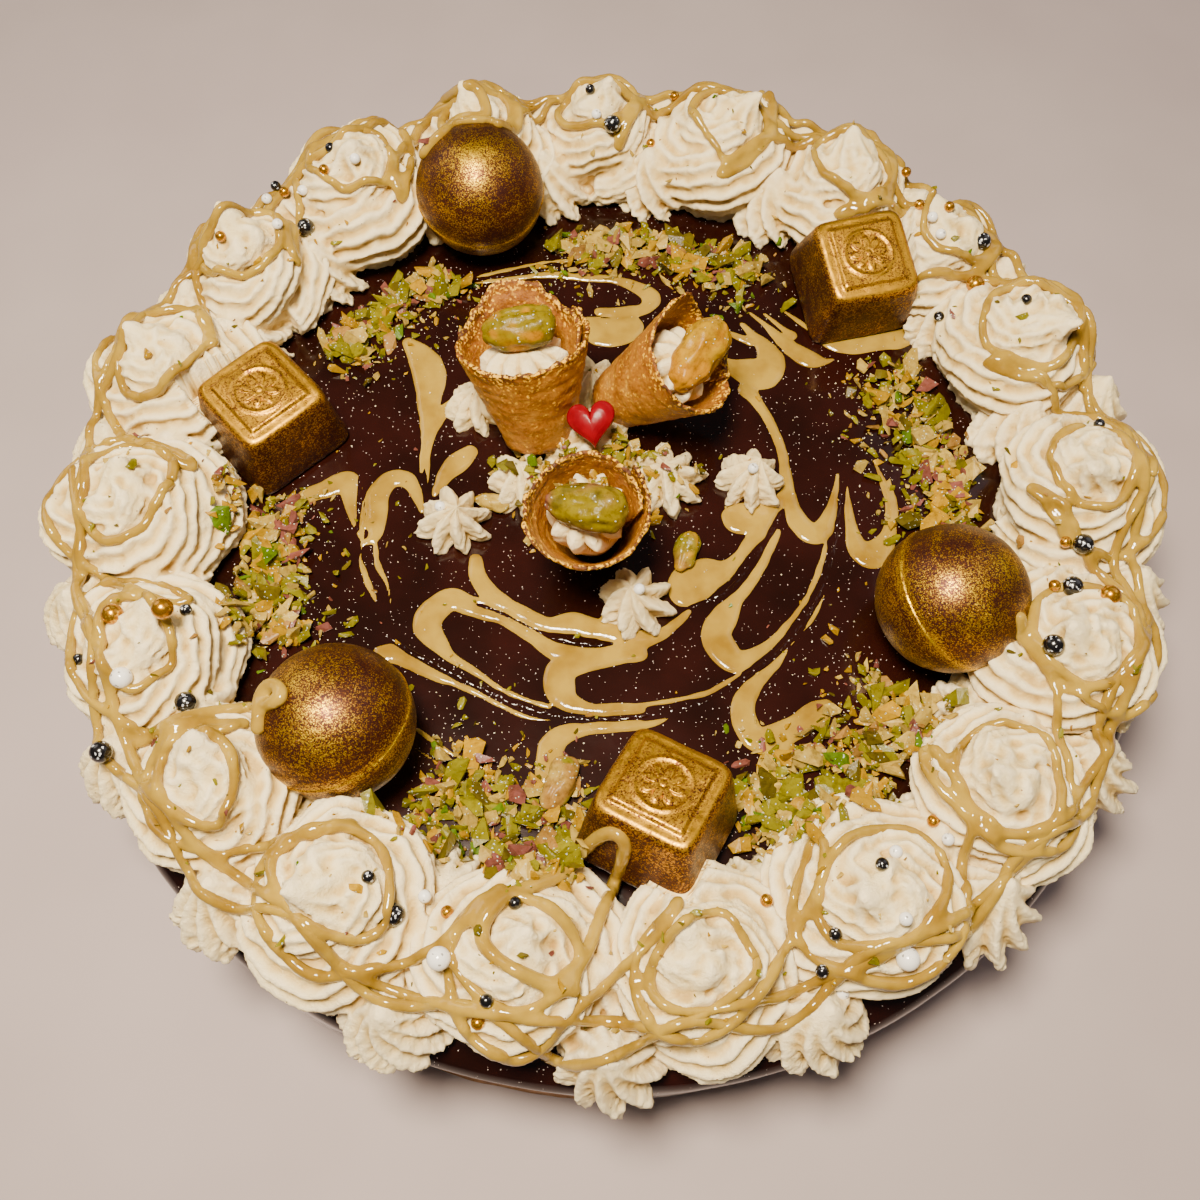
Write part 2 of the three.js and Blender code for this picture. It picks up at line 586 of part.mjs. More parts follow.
const borderOutlines = [];
STAR_AZIMUTHS.forEach((azimuth, index) => {
  const number = index + 1;
  const random = randomSource(7 * number);
  const before = STAR_AZIMUTHS[(index + STAR_AZIMUTHS.length - 1) % STAR_AZIMUTHS.length];
  const stretch = turnBetween(before, azimuth);
  const centre = THREE.MathUtils.degToRad(before + stretch / 2);
  const ring = RING_RADIUS + RING_SHIFT * Math.sin(centre);
  const fit = 1.05 * ring * Math.tan(THREE.MathUtils.degToRad(stretch / 2));
  const radius = THREE.MathUtils.clamp(fit, ROSETTE_RADIUS.least, ROSETTE_RADIUS.most);
  const height = ROSETTE_HEIGHT * (0.94 + 0.14 * random());
  const place = polar(before + stretch / 2, ring, GLAZE_TOP + GAP);

  const form = { radius, height, lobes: ROSETTE_LOBES, twist: ROSETTE_TWIST, loopStart: 360 * random() };
  let swirl = toSolid(pipedGeometry(ROSETTE_PROFILE, form));
  for (const [, pearlAzimuth, share] of LARGE_PEARLS.filter(([rosette]) => rosette === number)) {
    swirl = swirl.add(toSolid(pearlGeometry(radius, height, pearlAzimuth, share)));
  }
  swirl = swirl.transform(new THREE.Matrix4().makeTranslation(place.x, place.y, place.z).elements);
  swirl = swirl.subtract(beyondAzimuth(azimuth, 1)).subtract(beyondAzimuth(before, -1));
  swirl = gapStars(before).reduce((left, star) => left.subtract(gapStarOutline(before, star)), swirl);
  swirl = gapStars(azimuth).reduce((joined, star) => joined.add(gapStar(azimuth, star)), swirl);
  const name = `cream_rosette_${String(number).padStart(2, '0')}`;
  addNode(name, toGeometry(hollowed(swirl, pressedIn)), STYLE.cream);

  borderOutlines.push(cylinderSolid(place.x, place.y, radius + 2 * GAP, 2 * height));
  if (INNER_STAR_AZIMUTHS.includes(azimuth)) {
    const inner = polar(azimuth, INNER_STAR.ring);
    borderOutlines.push(cylinderSolid(inner.x, inner.y, INNER_STAR.radius + 2 * GAP, 2 * height));
  }
});

BALLS.forEach((ball) => {
  const place = new THREE.Vector3(ball.x, ball.y, BALL_Z);
  addNode(ball.name, stand(ballGeometry(BALL_RADIUS), place, ball.tilt), STYLE.gold);
});
BLOCKS.forEach((block) => addNode(block.name, placeBlock(block, blockGeometry()), STYLE.gold));

WAFERS.forEach((wafer, index) => {
  const roll = placeInWafer(wafer, slimmed(wafer, waferGeometry(wafer.flap, 11 + index)));
  addNode(`wafer_cone_${wafer.key}`, roll, STYLE.wafer);
  const filling = toSolid(placeInWafer(wafer, slimmed(wafer, fillingGeometry())));
  const hollow = toSolid(placeKernel(wafer, GAP));
  addNode(`cone_cream_${wafer.key}`, toGeometry(filling.subtract(hollow)), STYLE.cream);
  addNode(`pistachio_kernel_${wafer.key}`, placeKernel(wafer), STYLE.nut);
});

const waferOutlines = WAFERS.map((wafer) => waferOutline(wafer, GAP));
const heart = stand(heartGeometry(), HEART_PLACE, HEART_AXIS, 8);
addNode('sugar_heart', heart, STYLE.sugar);
const heartOutline = toSolid(stand(heartGeometry().scale(1.1, 1.1, 1.3), HEART_PLACE, HEART_AXIS, 8));

const mound = hollowed(moundSolid(), [...waferOutlines, heartOutline]);
addNode('centre_mound', toGeometry(mound), STYLE.cream);
const moundOutline = cylinderSolid(MOUND.x, MOUND.y, MOUND.radius + 3, 2 * MOUND.height);

const looseOutlines = LOOSE_NUTS.map((nut) => placeLooseNut(nut, GAP));
LOOSE_NUTS.forEach((nut, index) => {
  addNode(`pistachio_half_${index + 1}`, toGeometry(placeLooseNut(nut)), STYLE.nut);
});

const glazeStarOutlines = [...waferOutlines, moundOutline, ...looseOutlines];
GLAZE_STARS.forEach(({ name, x, y, radius, height }) => {
  const star = pipedGeometry(STAR_PROFILE, { radius, height, lobes: STAR_LOBES, twist: STAR_TWIST });
  const solid = toSolid(stand(star, new THREE.Vector3(x, y, GLAZE_TOP + GAP)));
  addNode(name, toGeometry(hollowed(solid, glazeStarOutlines)), STYLE.cream);
});

const driftOutlines = [...pressedIn, ...borderOutlines, ...looseOutlines];
DRIFTS.forEach((drift, index) => {
  const heap = hollowed(driftSolid(drift, index), driftOutlines);
  addNode(`chopped_nut_${drift.key}`, toGeometry(heap), STYLE.nut);
});

export default cake;
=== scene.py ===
"""Looks of the chocolate cheesecake: every piece is built here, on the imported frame."""
import logging
import math
from dataclasses import dataclass, field
from enum import Enum
from functools import partial
from typing import Callable, Optional, Sequence

import bmesh
import bpy
import numpy as np
from mathutils import Matrix, Vector
from mathutils.bvhtree import BVHTree


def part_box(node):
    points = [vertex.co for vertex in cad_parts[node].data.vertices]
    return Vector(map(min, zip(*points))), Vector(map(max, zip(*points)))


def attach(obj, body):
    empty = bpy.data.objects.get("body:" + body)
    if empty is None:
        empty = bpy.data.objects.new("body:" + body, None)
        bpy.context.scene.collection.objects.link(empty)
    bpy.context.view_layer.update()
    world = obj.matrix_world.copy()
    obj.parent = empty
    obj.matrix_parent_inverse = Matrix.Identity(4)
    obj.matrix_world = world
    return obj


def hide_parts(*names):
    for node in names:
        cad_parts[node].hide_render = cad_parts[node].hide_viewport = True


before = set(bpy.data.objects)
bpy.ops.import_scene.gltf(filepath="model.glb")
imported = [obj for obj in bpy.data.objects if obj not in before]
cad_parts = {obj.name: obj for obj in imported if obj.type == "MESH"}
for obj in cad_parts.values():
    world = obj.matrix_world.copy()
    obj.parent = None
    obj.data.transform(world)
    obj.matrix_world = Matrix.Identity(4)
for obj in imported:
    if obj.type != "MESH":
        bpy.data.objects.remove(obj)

logging.basicConfig(level=logging.INFO, format="%(message)s")
log = logging.getLogger("cheesecake")

Array = np.ndarray
Tree, Node, Socket, Piece = bpy.types.NodeTree, bpy.types.Node, bpy.types.NodeSocket, bpy.types.Object

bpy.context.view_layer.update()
MM = 0.001
TURN = 2 * math.pi
IMAGE_SIDE = 1200  # pixels of the photograph's frame

# The cake's own measures, in millimetres and degrees.
GLAZE_TOP = 43.0
FOOT = GLAZE_TOP - 0.2  # where piped cream stands, just in the glaze
BODY_HEIGHT = 38.0
BODY_FOOT_RADIUS = 120.6
BODY_TOP_RADIUS = 117.4
GLAZE_RADIUS = 120.5  # where its shoulder turns into the skirt
STAR_AZIMUTHS = (-166.3, -147.7, -129.4, -109.5, -89.2, -70.0, -49.3, -30.8, -10.7, 13.7,
                 32.8, 48.7, 65.4, 84.0, 99.3, 116.0, 137.2, 153.8, 173.9)
INNER_STAR_AZIMUTHS = (-129.4, -109.5, -70.0, -30.8)


# --- colours and nodes
def linear(code: str) -> tuple[float, float, float, float]:
    """Turns an sRGB hex colour to linear values.

    Args:
        code: the colour as "#rrggbb".

    Returns:
        Red, green, blue and an alpha of 1, linear.
    """
    parts = [int(code[at:at + 2], 16) / 255 for at in (1, 3, 5)]
    red, green, blue = (v / 12.92 if v <= 0.04045 else ((v + 0.055) / 1.055) ** 2.4 for v in parts)
    return red, green, blue, 1.0


def in_scene(name: str, data: bpy.types.ID) -> Piece:
    """Adds an object that shows `data` to the scene.

    Args:
        name: the object's name.
        data: its mesh, lamp or camera.

    Returns:
        The object.
    """
    piece = bpy.data.objects.new(name, data)
    bpy.context.scene.collection.objects.link(piece)
    return piece


def per_mm(size: float) -> float:
    """Texture scale at which one feature measures `size` millimetres in Object coordinates."""
    return 1000.0 / size


def add_node(tree: Tree, kind: str, links: Optional[dict] = None,
             values: Optional[dict] = None, stops: Sequence[tuple] = (), **settings) -> Node:
    """Adds a node to a tree.

    Args:
        tree: the tree that gets the node.
        kind: the node's type name.
        links: input name or number -> the socket that feeds it, or a node for its first output.
        values: input name or number -> the value that it holds.
        stops: for a colour ramp, its (position, hex colour) stops.
        settings: the node's own properties.

    Returns:
        The new node.
    """
    node = tree.nodes.new(kind)
    for name, value in settings.items():
        setattr(node, name, value)
    for key, value in (values or {}).items():
        node.inputs[key].default_value = value
    for key, source in (links or {}).items():
        tree.links.new(source.outputs[0] if isinstance(source, Node) else source, node.inputs[key])
    for spot, (position, colour) in enumerate(stops):
        elements = node.color_ramp.elements
        element = elements[spot] if spot < 2 else elements.new(position)
        element.position = position
        element.color = linear(colour)
    return node


# --- numbers on points
def lattice_noise(points: Array, size: float, seed: int) -> Array:
    """Smooth noise from -1 to 1 at each point.

    Args:
        points: rows of x, y, z in millimetres.
        size: the width of one bump in millimetres.
        seed: picks the pattern.

    Returns:
        One value for each point.
    """
    grid = np.asarray(points, dtype=float) / size
    base = np.floor(grid).astype(np.int64)
    part = grid - base
    part = part * part * (3 - 2 * part)
    total = np.zeros(len(grid))
    for corner in range(8):
        shift = np.array([corner & 1, (corner >> 1) & 1, (corner >> 2) & 1])
        cell = base + shift
        mixed = (cell[:, 0] * 73856093) ^ (cell[:, 1] * 19349663) ^ (cell[:, 2] * 83492791)
        mixed = (mixed ^ (seed * 2654435761)) & 0x7FFFFFFF
        mixed = ((mixed ^ (mixed >> 15)) * 739982445) & 0x7FFFFFFF
        mixed = ((mixed ^ (mixed >> 12)) * 695872825) & 0x7FFFFFFF
        value = ((mixed >> 9) & 0xFFFF) / 65535
        total += value * np.prod(np.where(shift, part, 1 - part), axis=1)
    return 2 * total - 1


def layered(points: Array, *layers: tuple[float, float, int]) -> Array:
    """Adds up layers of smooth noise.

    Args:
        points: rows of x, y, z in millimetres.
        layers: the height, the width of one bump and the seed of each.

    Returns:
        One value for each point.
    """
    return sum(height * lattice_noise(points, size, seed) for height, size, seed in layers)


def profile(rows: Sequence[tuple[float, float]], count: int) -> Array:
    """Fills a list of pairs up to `count` pairs, spaced evenly along it, as two rows."""
    fine = np.linspace(0, len(rows) - 1, count)
    return np.array([np.interp(fine, range(len(rows)), [row[axis] for row in rows]) for axis in (0, 1)])


def level_ring(reach: Array, angle: Array, z: float, shift: Sequence[float] = (0.0, 0.0)) -> Array:
    """A level ring of points.

    Args:
        reach: its radius at each angle.
        angle: the angles.
        z: its height.
        shift: how far its middle lies off the axis, along x and y.

    Returns:
        The points.
    """
    return np.column_stack([reach * np.cos(angle) + shift[0], reach * np.sin(angle) + shift[1],
                            np.full(len(angle), z)])


def ramp_up(low: float, high: float, values: Array) -> Array:
    """Goes smoothly from 0 at `low` to 1 at `high`."""
    share = np.clip((np.asarray(values, dtype=float) - low) / (high - low), 0, 1)
    return share * share * (3 - 2 * share)


def polar(azimuth: float, radius: float, z: float = 0.0) -> Array:
    """The point at an azimuth in degrees and a radius from the cake's middle."""
    angle = math.radians(azimuth)
    return np.array([radius * math.cos(angle), radius * math.sin(angle), z])


def smooth_path(points: Array, step: float) -> Array:
    """Runs a smooth curve through points, with a point each `step` millimetres or so.

    Args:
        points: rows of coordinates, of which the first two or three are the place.
        step: the spacing of the new points.

    Returns:
        The denser rows.
    """
    ends = np.vstack([2 * points[0] - points[1], points, 2 * points[-1] - points[-2]])
    rows = []
    for a, b, c, d in zip(ends, ends[1:], ends[2:], ends[3:]):
        count = max(2, int(math.dist(b[:2], c[:2]) / step))
        t = np.arange(count)[:, None] / count
        rows.append(0.5 * (2 * b + (c - a) * t + (2 * a - 5 * b + 4 * c - d) * t ** 2
                           + (3 * b - a - 3 * c + d) * t ** 3))
    return np.vstack(rows + [points[-1:]])


# --- shapes
@dataclass
class Shape:
    """A mesh in millimetres. Faces are rows of four corners, with -1 last in a triangle."""

    points: Array
    faces: Array
    flat: bool = False  # whether its faces are shaded flat

    def __add__(self, other: "Shape") -> "Shape":
        """Both meshes as one."""
        moved = np.where(other.faces >= 0, other.faces + len(self.points), -1)
        return Shape(np.vstack([self.points, other.points]), np.vstack([self.faces, moved]))

    def mesh(self, name: str) -> bpy.types.Mesh:
        """Makes the Blender mesh, in metres.

        Args:
            name: the mesh's name.

        Returns:
            The mesh.
        """
        mesh = bpy.data.meshes.new(name)
        mesh.vertices.add(len(self.points))
        mesh.vertices.foreach_set("co", (self.points * MM).astype(np.float32).ravel())
        held = self.faces >= 0
        counts = held.sum(axis=1)
        mesh.loops.add(int(counts.sum()))
        mesh.loops.foreach_set("vertex_index", self.faces[held].astype(np.int32))
        mesh.polygons.add(len(counts))
        mesh.polygons.foreach_set("loop_start", (np.cumsum(counts) - counts).astype(np.int32))
        mesh.update(calc_edges=True)
        mesh.validate()
        if self.flat:
            mesh.shade_flat()
        return mesh

    def links(self) -> tuple[Array, Array]:
        """Every edge of every face, as its two ends.

        Returns:
            The first and the second ends' numbers.
        """
        triangles = self.faces[:, 3] < 0
        last = np.where(triangles, self.faces[:, 2], self.faces[:, 3])
        starts = np.concatenate([self.faces[:, 0], self.faces[:, 1], self.faces[:, 2], last])
        ends = np.concatenate([self.faces[:, 1], self.faces[:, 2], last, self.faces[:, 0]])
        return starts, ends

    def around(self, values: Array) -> Array:
        """The mean of a value, or of the points' coordinates, over each point's neighbours.

        Args:
            values: a number or a row for each point.

        Returns:
            The means, in the same form.
        """
        starts, ends = self.links()
        both, other = np.concatenate([starts, ends]), np.concatenate([ends, starts])
        count = np.maximum(np.bincount(both, minlength=len(self.points)), 1)
        columns = values.reshape(len(self.points), -1).T
        sums = [np.bincount(both, weights=column[other], minlength=len(self.points)) for column in columns]
        return (np.array(sums) / count).T.reshape(values.shape)

    def relaxed(self, rounds: int, strength: float = 0.5) -> "Shape":
        """The same mesh with its steps smoothed away.

        Args:
            rounds: how often it is smoothed.
            strength: how far each time, as a share.

        Returns:
            The smoother mesh.
        """
        points = self.points
        for _ in range(rounds):
            points = points + strength * (self.around(points) - points)
        return Shape(points, self.faces)

    def normals(self) -> Array:
        """The outward direction at each point.

        Returns:
            A row of length 1 for each point.
        """
        corners = self.points[np.where(self.faces >= 0, self.faces, self.faces[:, [0]])]
        across = np.cross(corners[:, 2] - corners[:, 0], corners[:, 3] - corners[:, 1])
        total = np.zeros_like(self.points)
        for column in range(4):
            used = self.faces[:, column] >= 0
            for axis in range(3):
                total[:, axis] += np.bincount(self.faces[used, column], weights=across[used, axis],
                                              minlength=len(self.points))
        return total / np.maximum(np.linalg.norm(total, axis=1), 1e-9)[:, None]

    def pushed(self, push: Array) -> "Shape":
        """The same mesh with each point moved outwards by its own distance."""
        return Shape(self.points + self.normals() * push[:, None], self.faces)

    def hollow(self, rounds: int) -> Array:
        """How deep each point lies in a crease: positive in creases, negative on ridges.

        Args:
            rounds: how often the depth is averaged.

        Returns:
            One value for each point, in millimetres.
        """
        depth = ((self.around(self.points) - self.points) * self.normals()).sum(axis=1)
        for _ in range(rounds):
            depth = self.around(depth)
        return depth

    def outward(self) -> "Shape":
        """The same mesh with its faces pointing out of the volume that it closes.

        Returns:
            The mesh, turned if it was inside out.
        """
        corners = self.points[np.where(self.faces >= 0, self.faces, self.faces[:, [0]])]
        corners = corners - self.points.mean(axis=0)
        halves = [(0, 1, 2), (0, 2, 3)]
        volume = sum((corners[:, a] * np.cross(corners[:, b], corners[:, c])).sum() for a, b, c in halves)
        if volume >= 0:
            return self
        triangles = self.faces[:, 3] < 0
        turned = self.faces[:, ::-1].copy()
        turned[triangles] = np.column_stack([self.faces[triangles][:, [2, 1, 0]],
                                             np.full(triangles.sum(), -1)])
        return Shape(self.points, turned)

    def stood(self, place: Sequence[float], axis: Sequence[float] = (0, 0, 1), turn: float = 0.0) -> "Shape":
        """Turns the mesh about Z, leans its Z to `axis` and moves it to `place`."""
        return Shape(stand_points(self.points, place, axis, turn), self.faces)


def stand_points(points: Array, place: Sequence[float], axis: Sequence[float],
                 turn: float) -> Array:
    """Turns points about Z by `turn` degrees, leans Z to `axis` and moves them to `place`.

    Args:
        points: rows of x, y, z.
        place: where the origin goes.
        axis: where Z points afterwards.
        turn: the turn about Z before that.

    Returns:
        The moved rows.
    """
    lean = Vector((0, 0, 1)).rotation_difference(Vector(axis).normalized()).to_matrix()
    matrix = np.array(lean @ Matrix.Rotation(math.radians(turn), 3, "Z"))
    return points @ matrix.T + np.asarray(place, dtype=float)


def loft(rings: Array, closed_ends: bool = True) -> Shape:
    """Skins closed rings of points, one above the other.

    Args:
        rings: an array of rings x points x 3, each ring anticlockwise seen from above.
        closed_ends: whether a fan closes the first and the last ring.

    Returns:
        The skin, with its faces outwards.
    """
    rows, count, _ = rings.shape
    index = np.arange(rows * count).reshape(rows, count)
    right = np.roll(index, -1, axis=1)
    faces = np.stack([index[:-1], right[:-1], right[1:], index[1:]], axis=-1).reshape(-1, 4)
    points = rings.reshape(-1, 3)
    if closed_ends:
        low, high = len(points), len(points) + 1
        points = np.vstack([points, rings[0].mean(axis=0), rings[-1].mean(axis=0)])
        none = np.full(count, -1)
        first = np.column_stack([np.full(count, low), right[0], index[0], none])
        last = np.column_stack([np.full(count, high), index[-1], right[-1], none])
        faces = np.vstack([faces, first, last])
    return Shape(points, faces).outward() if closed_ends else Shape(points, faces)


def tube(path: Array, radii: Array, sides: int = 10) -> Shape:
    """A round tube along a path, closed at its ends.

    Args:
        path: the points that it follows, in millimetres.
        radii: its radius at each of them.
        sides: the number of sides of its section.

    Returns:
        The tube.
    """
    ahead = np.gradient(path, axis=0)
    ahead /= np.maximum(np.linalg.norm(ahead, axis=1), 1e-9)[:, None]
    side = np.cross(ahead, [0.0, 0.0, 1.0])
    side /= np.maximum(np.linalg.norm(side, axis=1), 1e-6)[:, None]
    top = np.cross(side, ahead)
    angles = np.arange(sides) * TURN / sides
    ring = np.cos(angles)[None, :, None] * side[:, None] + np.sin(angles)[None, :, None] * top[:, None]
    return loft(path[:, None] + ring * radii[:, None, None])


def fused(shape: Shape, cell: float) -> Shape:
    """Melts overlapping closed meshes into one skin.

    Args:
        shape: the overlapping meshes.
        cell: the size of the new faces in millimetres.

    Returns:
        One closed mesh of even faces.
    """
    holder = in_scene("mould", shape.mesh("mould"))
    remesh = holder.modifiers.new("melt", "REMESH")
    remesh.mode = "VOXEL"
    remesh.voxel_size = cell * MM
    graph = bpy.context.evaluated_depsgraph_get()
    mesh = bpy.data.meshes.new_from_object(holder.evaluated_get(graph))
    points = np.empty(len(mesh.vertices) * 3, dtype=np.float32)
    mesh.vertices.foreach_get("co", points)
    corners = np.empty(len(mesh.loops), dtype=np.int32)
    mesh.loops.foreach_get("vertex_index", corners)
    counts = np.empty(len(mesh.polygons), dtype=np.int32)
    mesh.polygons.foreach_get("loop_total", counts)
    faces = np.full((len(counts), 4), -1)
    faces[np.arange(4)[None, :] < counts[:, None]] = corners
    raw = holder.data
    bpy.data.objects.remove(holder)
    for spare in (mesh, raw):
        bpy.data.meshes.remove(spare)
    return Shape(points.reshape(-1, 3).astype(float) / MM, faces)


# --- finishes
@dataclass(frozen=True)
class Finish:
    """What a surface is made of. Each kind says how its shader is wired."""

    name: str

    def wire(self, add: Callable[..., Node], place: Socket) -> Node:
        """Builds the shader in a tree and returns its last node.

        Args:
            add: adds a node to the material's tree.
            place: the Object coordinates.

        Returns:
            The node whose first output is the shader.
        """
        raise NotImplementedError

    def material(self) -> bpy.types.Material:
        """The material, made on first use.

        Returns:
            The material.
        """
        made = bpy.data.materials.get(self.name)
        if made is None:
            made = bpy.data.materials.new(self.name)
            made.use_nodes = True
            made.node_tree.nodes.clear()
            add = partial(add_node, made.node_tree)
            place = add("ShaderNodeTexCoord").outputs["Object"]
            add("ShaderNodeOutputMaterial", {"Surface": self.wire(add, place)})
        return made


@dataclass(frozen=True)
class PaleFloor(Finish):
    """Matt pale paper that the cake is shown on."""

    name: str = "matt_paper"
    colour: str = "#ab9c9b"

    def wire(self, add: Callable[..., Node], place: Socket) -> Node:
        """Flat, matt, with a faint cloudiness of 40 mm so that it isn't dead.

        Args:
            add: adds a node to the material's tree.
            place: the Object coordinates.

        Returns:
            The surface's node.
        """
        cloud = add("ShaderNodeTexNoise", {"Vector": place}, {"Scale": per_mm(40)})
        tone = add("ShaderNodeValToRGB", {"Fac": cloud}, stops=[(0.3, "#a69796"), (0.7, self.colour)])
        return add("ShaderNodeBsdfPrincipled", {"Base Color": tone}, {"Roughness": 0.75})


@dataclass(frozen=True)
class BakedCake(Finish):
    """Baked cheesecake under the glaze: dry, tan, with a fine open crumb."""

    name: str = "baked_cake_crust"

    def wire(self, add: Callable[..., Node], place: Socket) -> Node:
        """Cloudy browning of about 9 mm, crumb of 1.2 mm as bump.

        Args:
            add: adds a node to the material's tree.
            place: the Object coordinates.

        Returns:
            The surface's node.
        """
        browning = add("ShaderNodeTexNoise", {"Vector": place},
                       {"Scale": per_mm(9), "Detail": 5.0, "Roughness": 0.65})
        tone = add("ShaderNodeValToRGB", {"Fac": browning},
                   stops=[(0.3, "#6b4528"), (0.5, "#9f7247"), (0.72, "#c29a6a")])
        crumb = add("ShaderNodeTexNoise", {"Vector": place},
                    {"Scale": per_mm(1.2), "Detail": 4.0, "Roughness": 0.7})
        bump = add("ShaderNodeBump", {"Height": crumb}, {"Strength": 1.0, "Distance": 0.9 * MM})
        return add("ShaderNodeBsdfPrincipled", {"Base Color": tone, "Normal": bump}, {"Roughness": 0.82})


@dataclass(frozen=True)
class MirrorGlaze(Finish):
    """Dark chocolate glaze: wet gloss with silver glitter dust lying in it."""

    name: str = "dark_chocolate_glaze"
    glitter: float = 1.15  # spacing of the silver specks in millimetres

    def wire(self, add: Callable[..., Node], place: Socket) -> Node:
        """Near-black red-brown, smooth, with sparse bright specks of two sizes.

        Args:
            add: adds a node to the material's tree.
            place: the Object coordinates.

        Returns:
            The surface's node.
        """
        cloud = add("ShaderNodeTexNoise", {"Vector": place}, {"Scale": per_mm(16), "Detail": 3.0})
        dark = add("ShaderNodeValToRGB", {"Fac": cloud}, stops=[(0.35, "#170603"), (0.7, "#240b07")])
        specks = []
        for size, reach, share in ((self.glitter, 0.1, 0.5), (0.6 * self.glitter, 0.1, 0.72)):
            cells = add("ShaderNodeTexVoronoi", {"Vector": place}, {"Scale": per_mm(size)})
            near = add("ShaderNodeMath", {0: cells}, {1: reach}, operation="LESS_THAN")
            parts = add("ShaderNodeSeparateColor", {0: cells.outputs["Color"]})
            kept = add("ShaderNodeMath", {0: parts}, {1: share}, operation="GREATER_THAN")
            specks.append(add("ShaderNodeMath", {0: near, 1: kept}, operation="MULTIPLY"))
        fleck = add("ShaderNodeMath", {0: specks[0], 1: specks[1]}, operation="MAXIMUM")
        tone = add("ShaderNodeMix", {0: fleck, 6: dark}, {7: linear("#cfc4bd")}, data_type="RGBA")
        wet = add("ShaderNodeMapRange", {"Value": fleck}, {"To Min": 0.13, "To Max": 0.35})
        ripple = add("ShaderNodeTexNoise", {"Vector": place}, {"Scale": per_mm(5), "Detail": 2.0})
        bump = add("ShaderNodeBump", {"Height": ripple}, {"Strength": 0.12, "Distance": 0.5 * MM})
        return add("ShaderNodeBsdfPrincipled", {"Base Color": tone.outputs[2], "Roughness": wet,
                    "Normal": bump}, {"IOR": 1.45, "Specular IOR Level": 0.42})


@dataclass(frozen=True)
class PipedCream(Finish):
    """Whipped cream, piped: soft, satin, light through its ridges, with painted shade that makes it darker
    and warmer in its creases.
    """

    name: str = "whipped_cream_piped"

    def wire(self, add: Callable[..., Node], place: Socket) -> Node:
        """Crease depth drives the tone as painted shade, darker in creases and paler on ridges; dark specks
        3.4 mm apart, grain of 1.1 mm as bump.

        Args:
            add: adds a node to the material's tree.
            place: the Object coordinates.

        Returns:
            The surface's node.
        """
        # painted shade: the crease depth darkens and warms the cream's tone
        crease = add("ShaderNodeAttribute", attribute_name="crease")
        cloud = add("ShaderNodeTexNoise", {"Vector": place}, {"Scale": per_mm(14), "Detail": 3.0})
        shift = add("ShaderNodeMath", {0: cloud, 2: crease.outputs["Fac"]},
                    {1: 0.3}, operation="MULTIPLY_ADD")
        # the ramp runs from pale cream on ridges to a painted dark tan in the deepest creases
        tone = add("ShaderNodeValToRGB", {"Fac": shift},
                   stops=[(0.3, "#f8e5b9"), (0.5, "#f0daa2"), (0.72, "#d9b971"), (1.0, "#a8823e")])
        dots = add("ShaderNodeTexVoronoi", {"Vector": place}, {"Scale": per_mm(3.4)})
        dot = add("ShaderNodeMath", {0: dots}, {1: 0.05}, operation="LESS_THAN")
        specked = add("ShaderNodeMix", {0: dot, 6: tone}, {7: linear("#8a6a3c")}, data_type="RGBA")
        grain = add("ShaderNodeTexNoise", {"Vector": place},
                    {"Scale": per_mm(1.1), "Detail": 5.0, "Roughness": 0.75})
        bump = add("ShaderNodeBump", {"Height": grain}, {"Strength": 0.9, "Distance": 0.6 * MM})
        return add("ShaderNodeBsdfPrincipled", {"Base Color": specked.outputs[2], "Normal": bump},
                   {"Roughness": 0.5, "IOR": 1.45, "Subsurface Weight": 0.1,
                    "Subsurface Radius": (1.0, 0.85, 0.6), "Subsurface Scale": 0.9 * MM})


@dataclass(frozen=True)
class Caramel(Finish):
    """Caramel sauce, poured: opaque tan, wet gloss, its tone varying in slow patches."""

    name: str = "caramel_sauce"
    pale: str = "#a3852e"
    deep: str = "#826116"

    def wire(self, add: Callable[..., Node], place: Socket) -> Node:
        """Slow tone changes of 8 mm, nearly smooth surface.

        Args:
            add: adds a node to the material's tree.
            place: the Object coordinates.

        Returns:
            The surface's node.
        """
        cloud = add("ShaderNodeTexNoise", {"Vector": place}, {"Scale": per_mm(8), "Detail": 3.0})
        tone = add("ShaderNodeValToRGB", {"Fac": cloud}, stops=[(0.3, self.deep), (0.62, self.pale)])
        ripple = add("ShaderNodeTexNoise", {"Vector": place}, {"Scale": per_mm(2.0)})
        bump = add("ShaderNodeBump", {"Height": ripple}, {"Strength": 0.3, "Distance": 0.4 * MM})
        return add("ShaderNodeBsdfPrincipled", {"Base Color": tone, "Normal": bump},
                   {"Roughness": 0.1, "IOR": 1.5, "Subsurface Weight": 0.08,
                    "Subsurface Radius": (1.0, 0.8, 0.4), "Subsurface Scale": 1.0 * MM})


BAKED = BakedCake()
GLAZE = MirrorGlaze()
CREAM = PipedCream()
CARAMEL = Caramel()


def put(name: str, shape: Shape, finish: Finish, slot: str, replaces: Sequence[str] = (),
        **attributes: Array) -> Piece:
    """Makes a finished piece that rides on the cake.

    Args:
        name: the piece's name.
        shape: its mesh in the cake's frame.
        finish: its finish.
        slot: not used.
        replaces: the CAD nodes that it stands for.
        attributes: named values for its points, a number or a colour each.

    Returns:
        The object.
    """
    mesh = shape.mesh(name)
    for key, values in attributes.items():
        colours = values.ndim == 2
        layer = mesh.attributes.new(key, "FLOAT_COLOR" if colours else "FLOAT", "POINT")
        layer.data.foreach_set("color" if colours else "value", values.astype(np.float32).ravel())
    mesh.materials.append(finish.material())
    mesh.shade_smooth()
    piece = in_scene(name, mesh)
    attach(piece, "root")
    if replaces:
        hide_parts(*replaces)
    log.info("%s: %d points", name, len(mesh.vertices))
    return piece


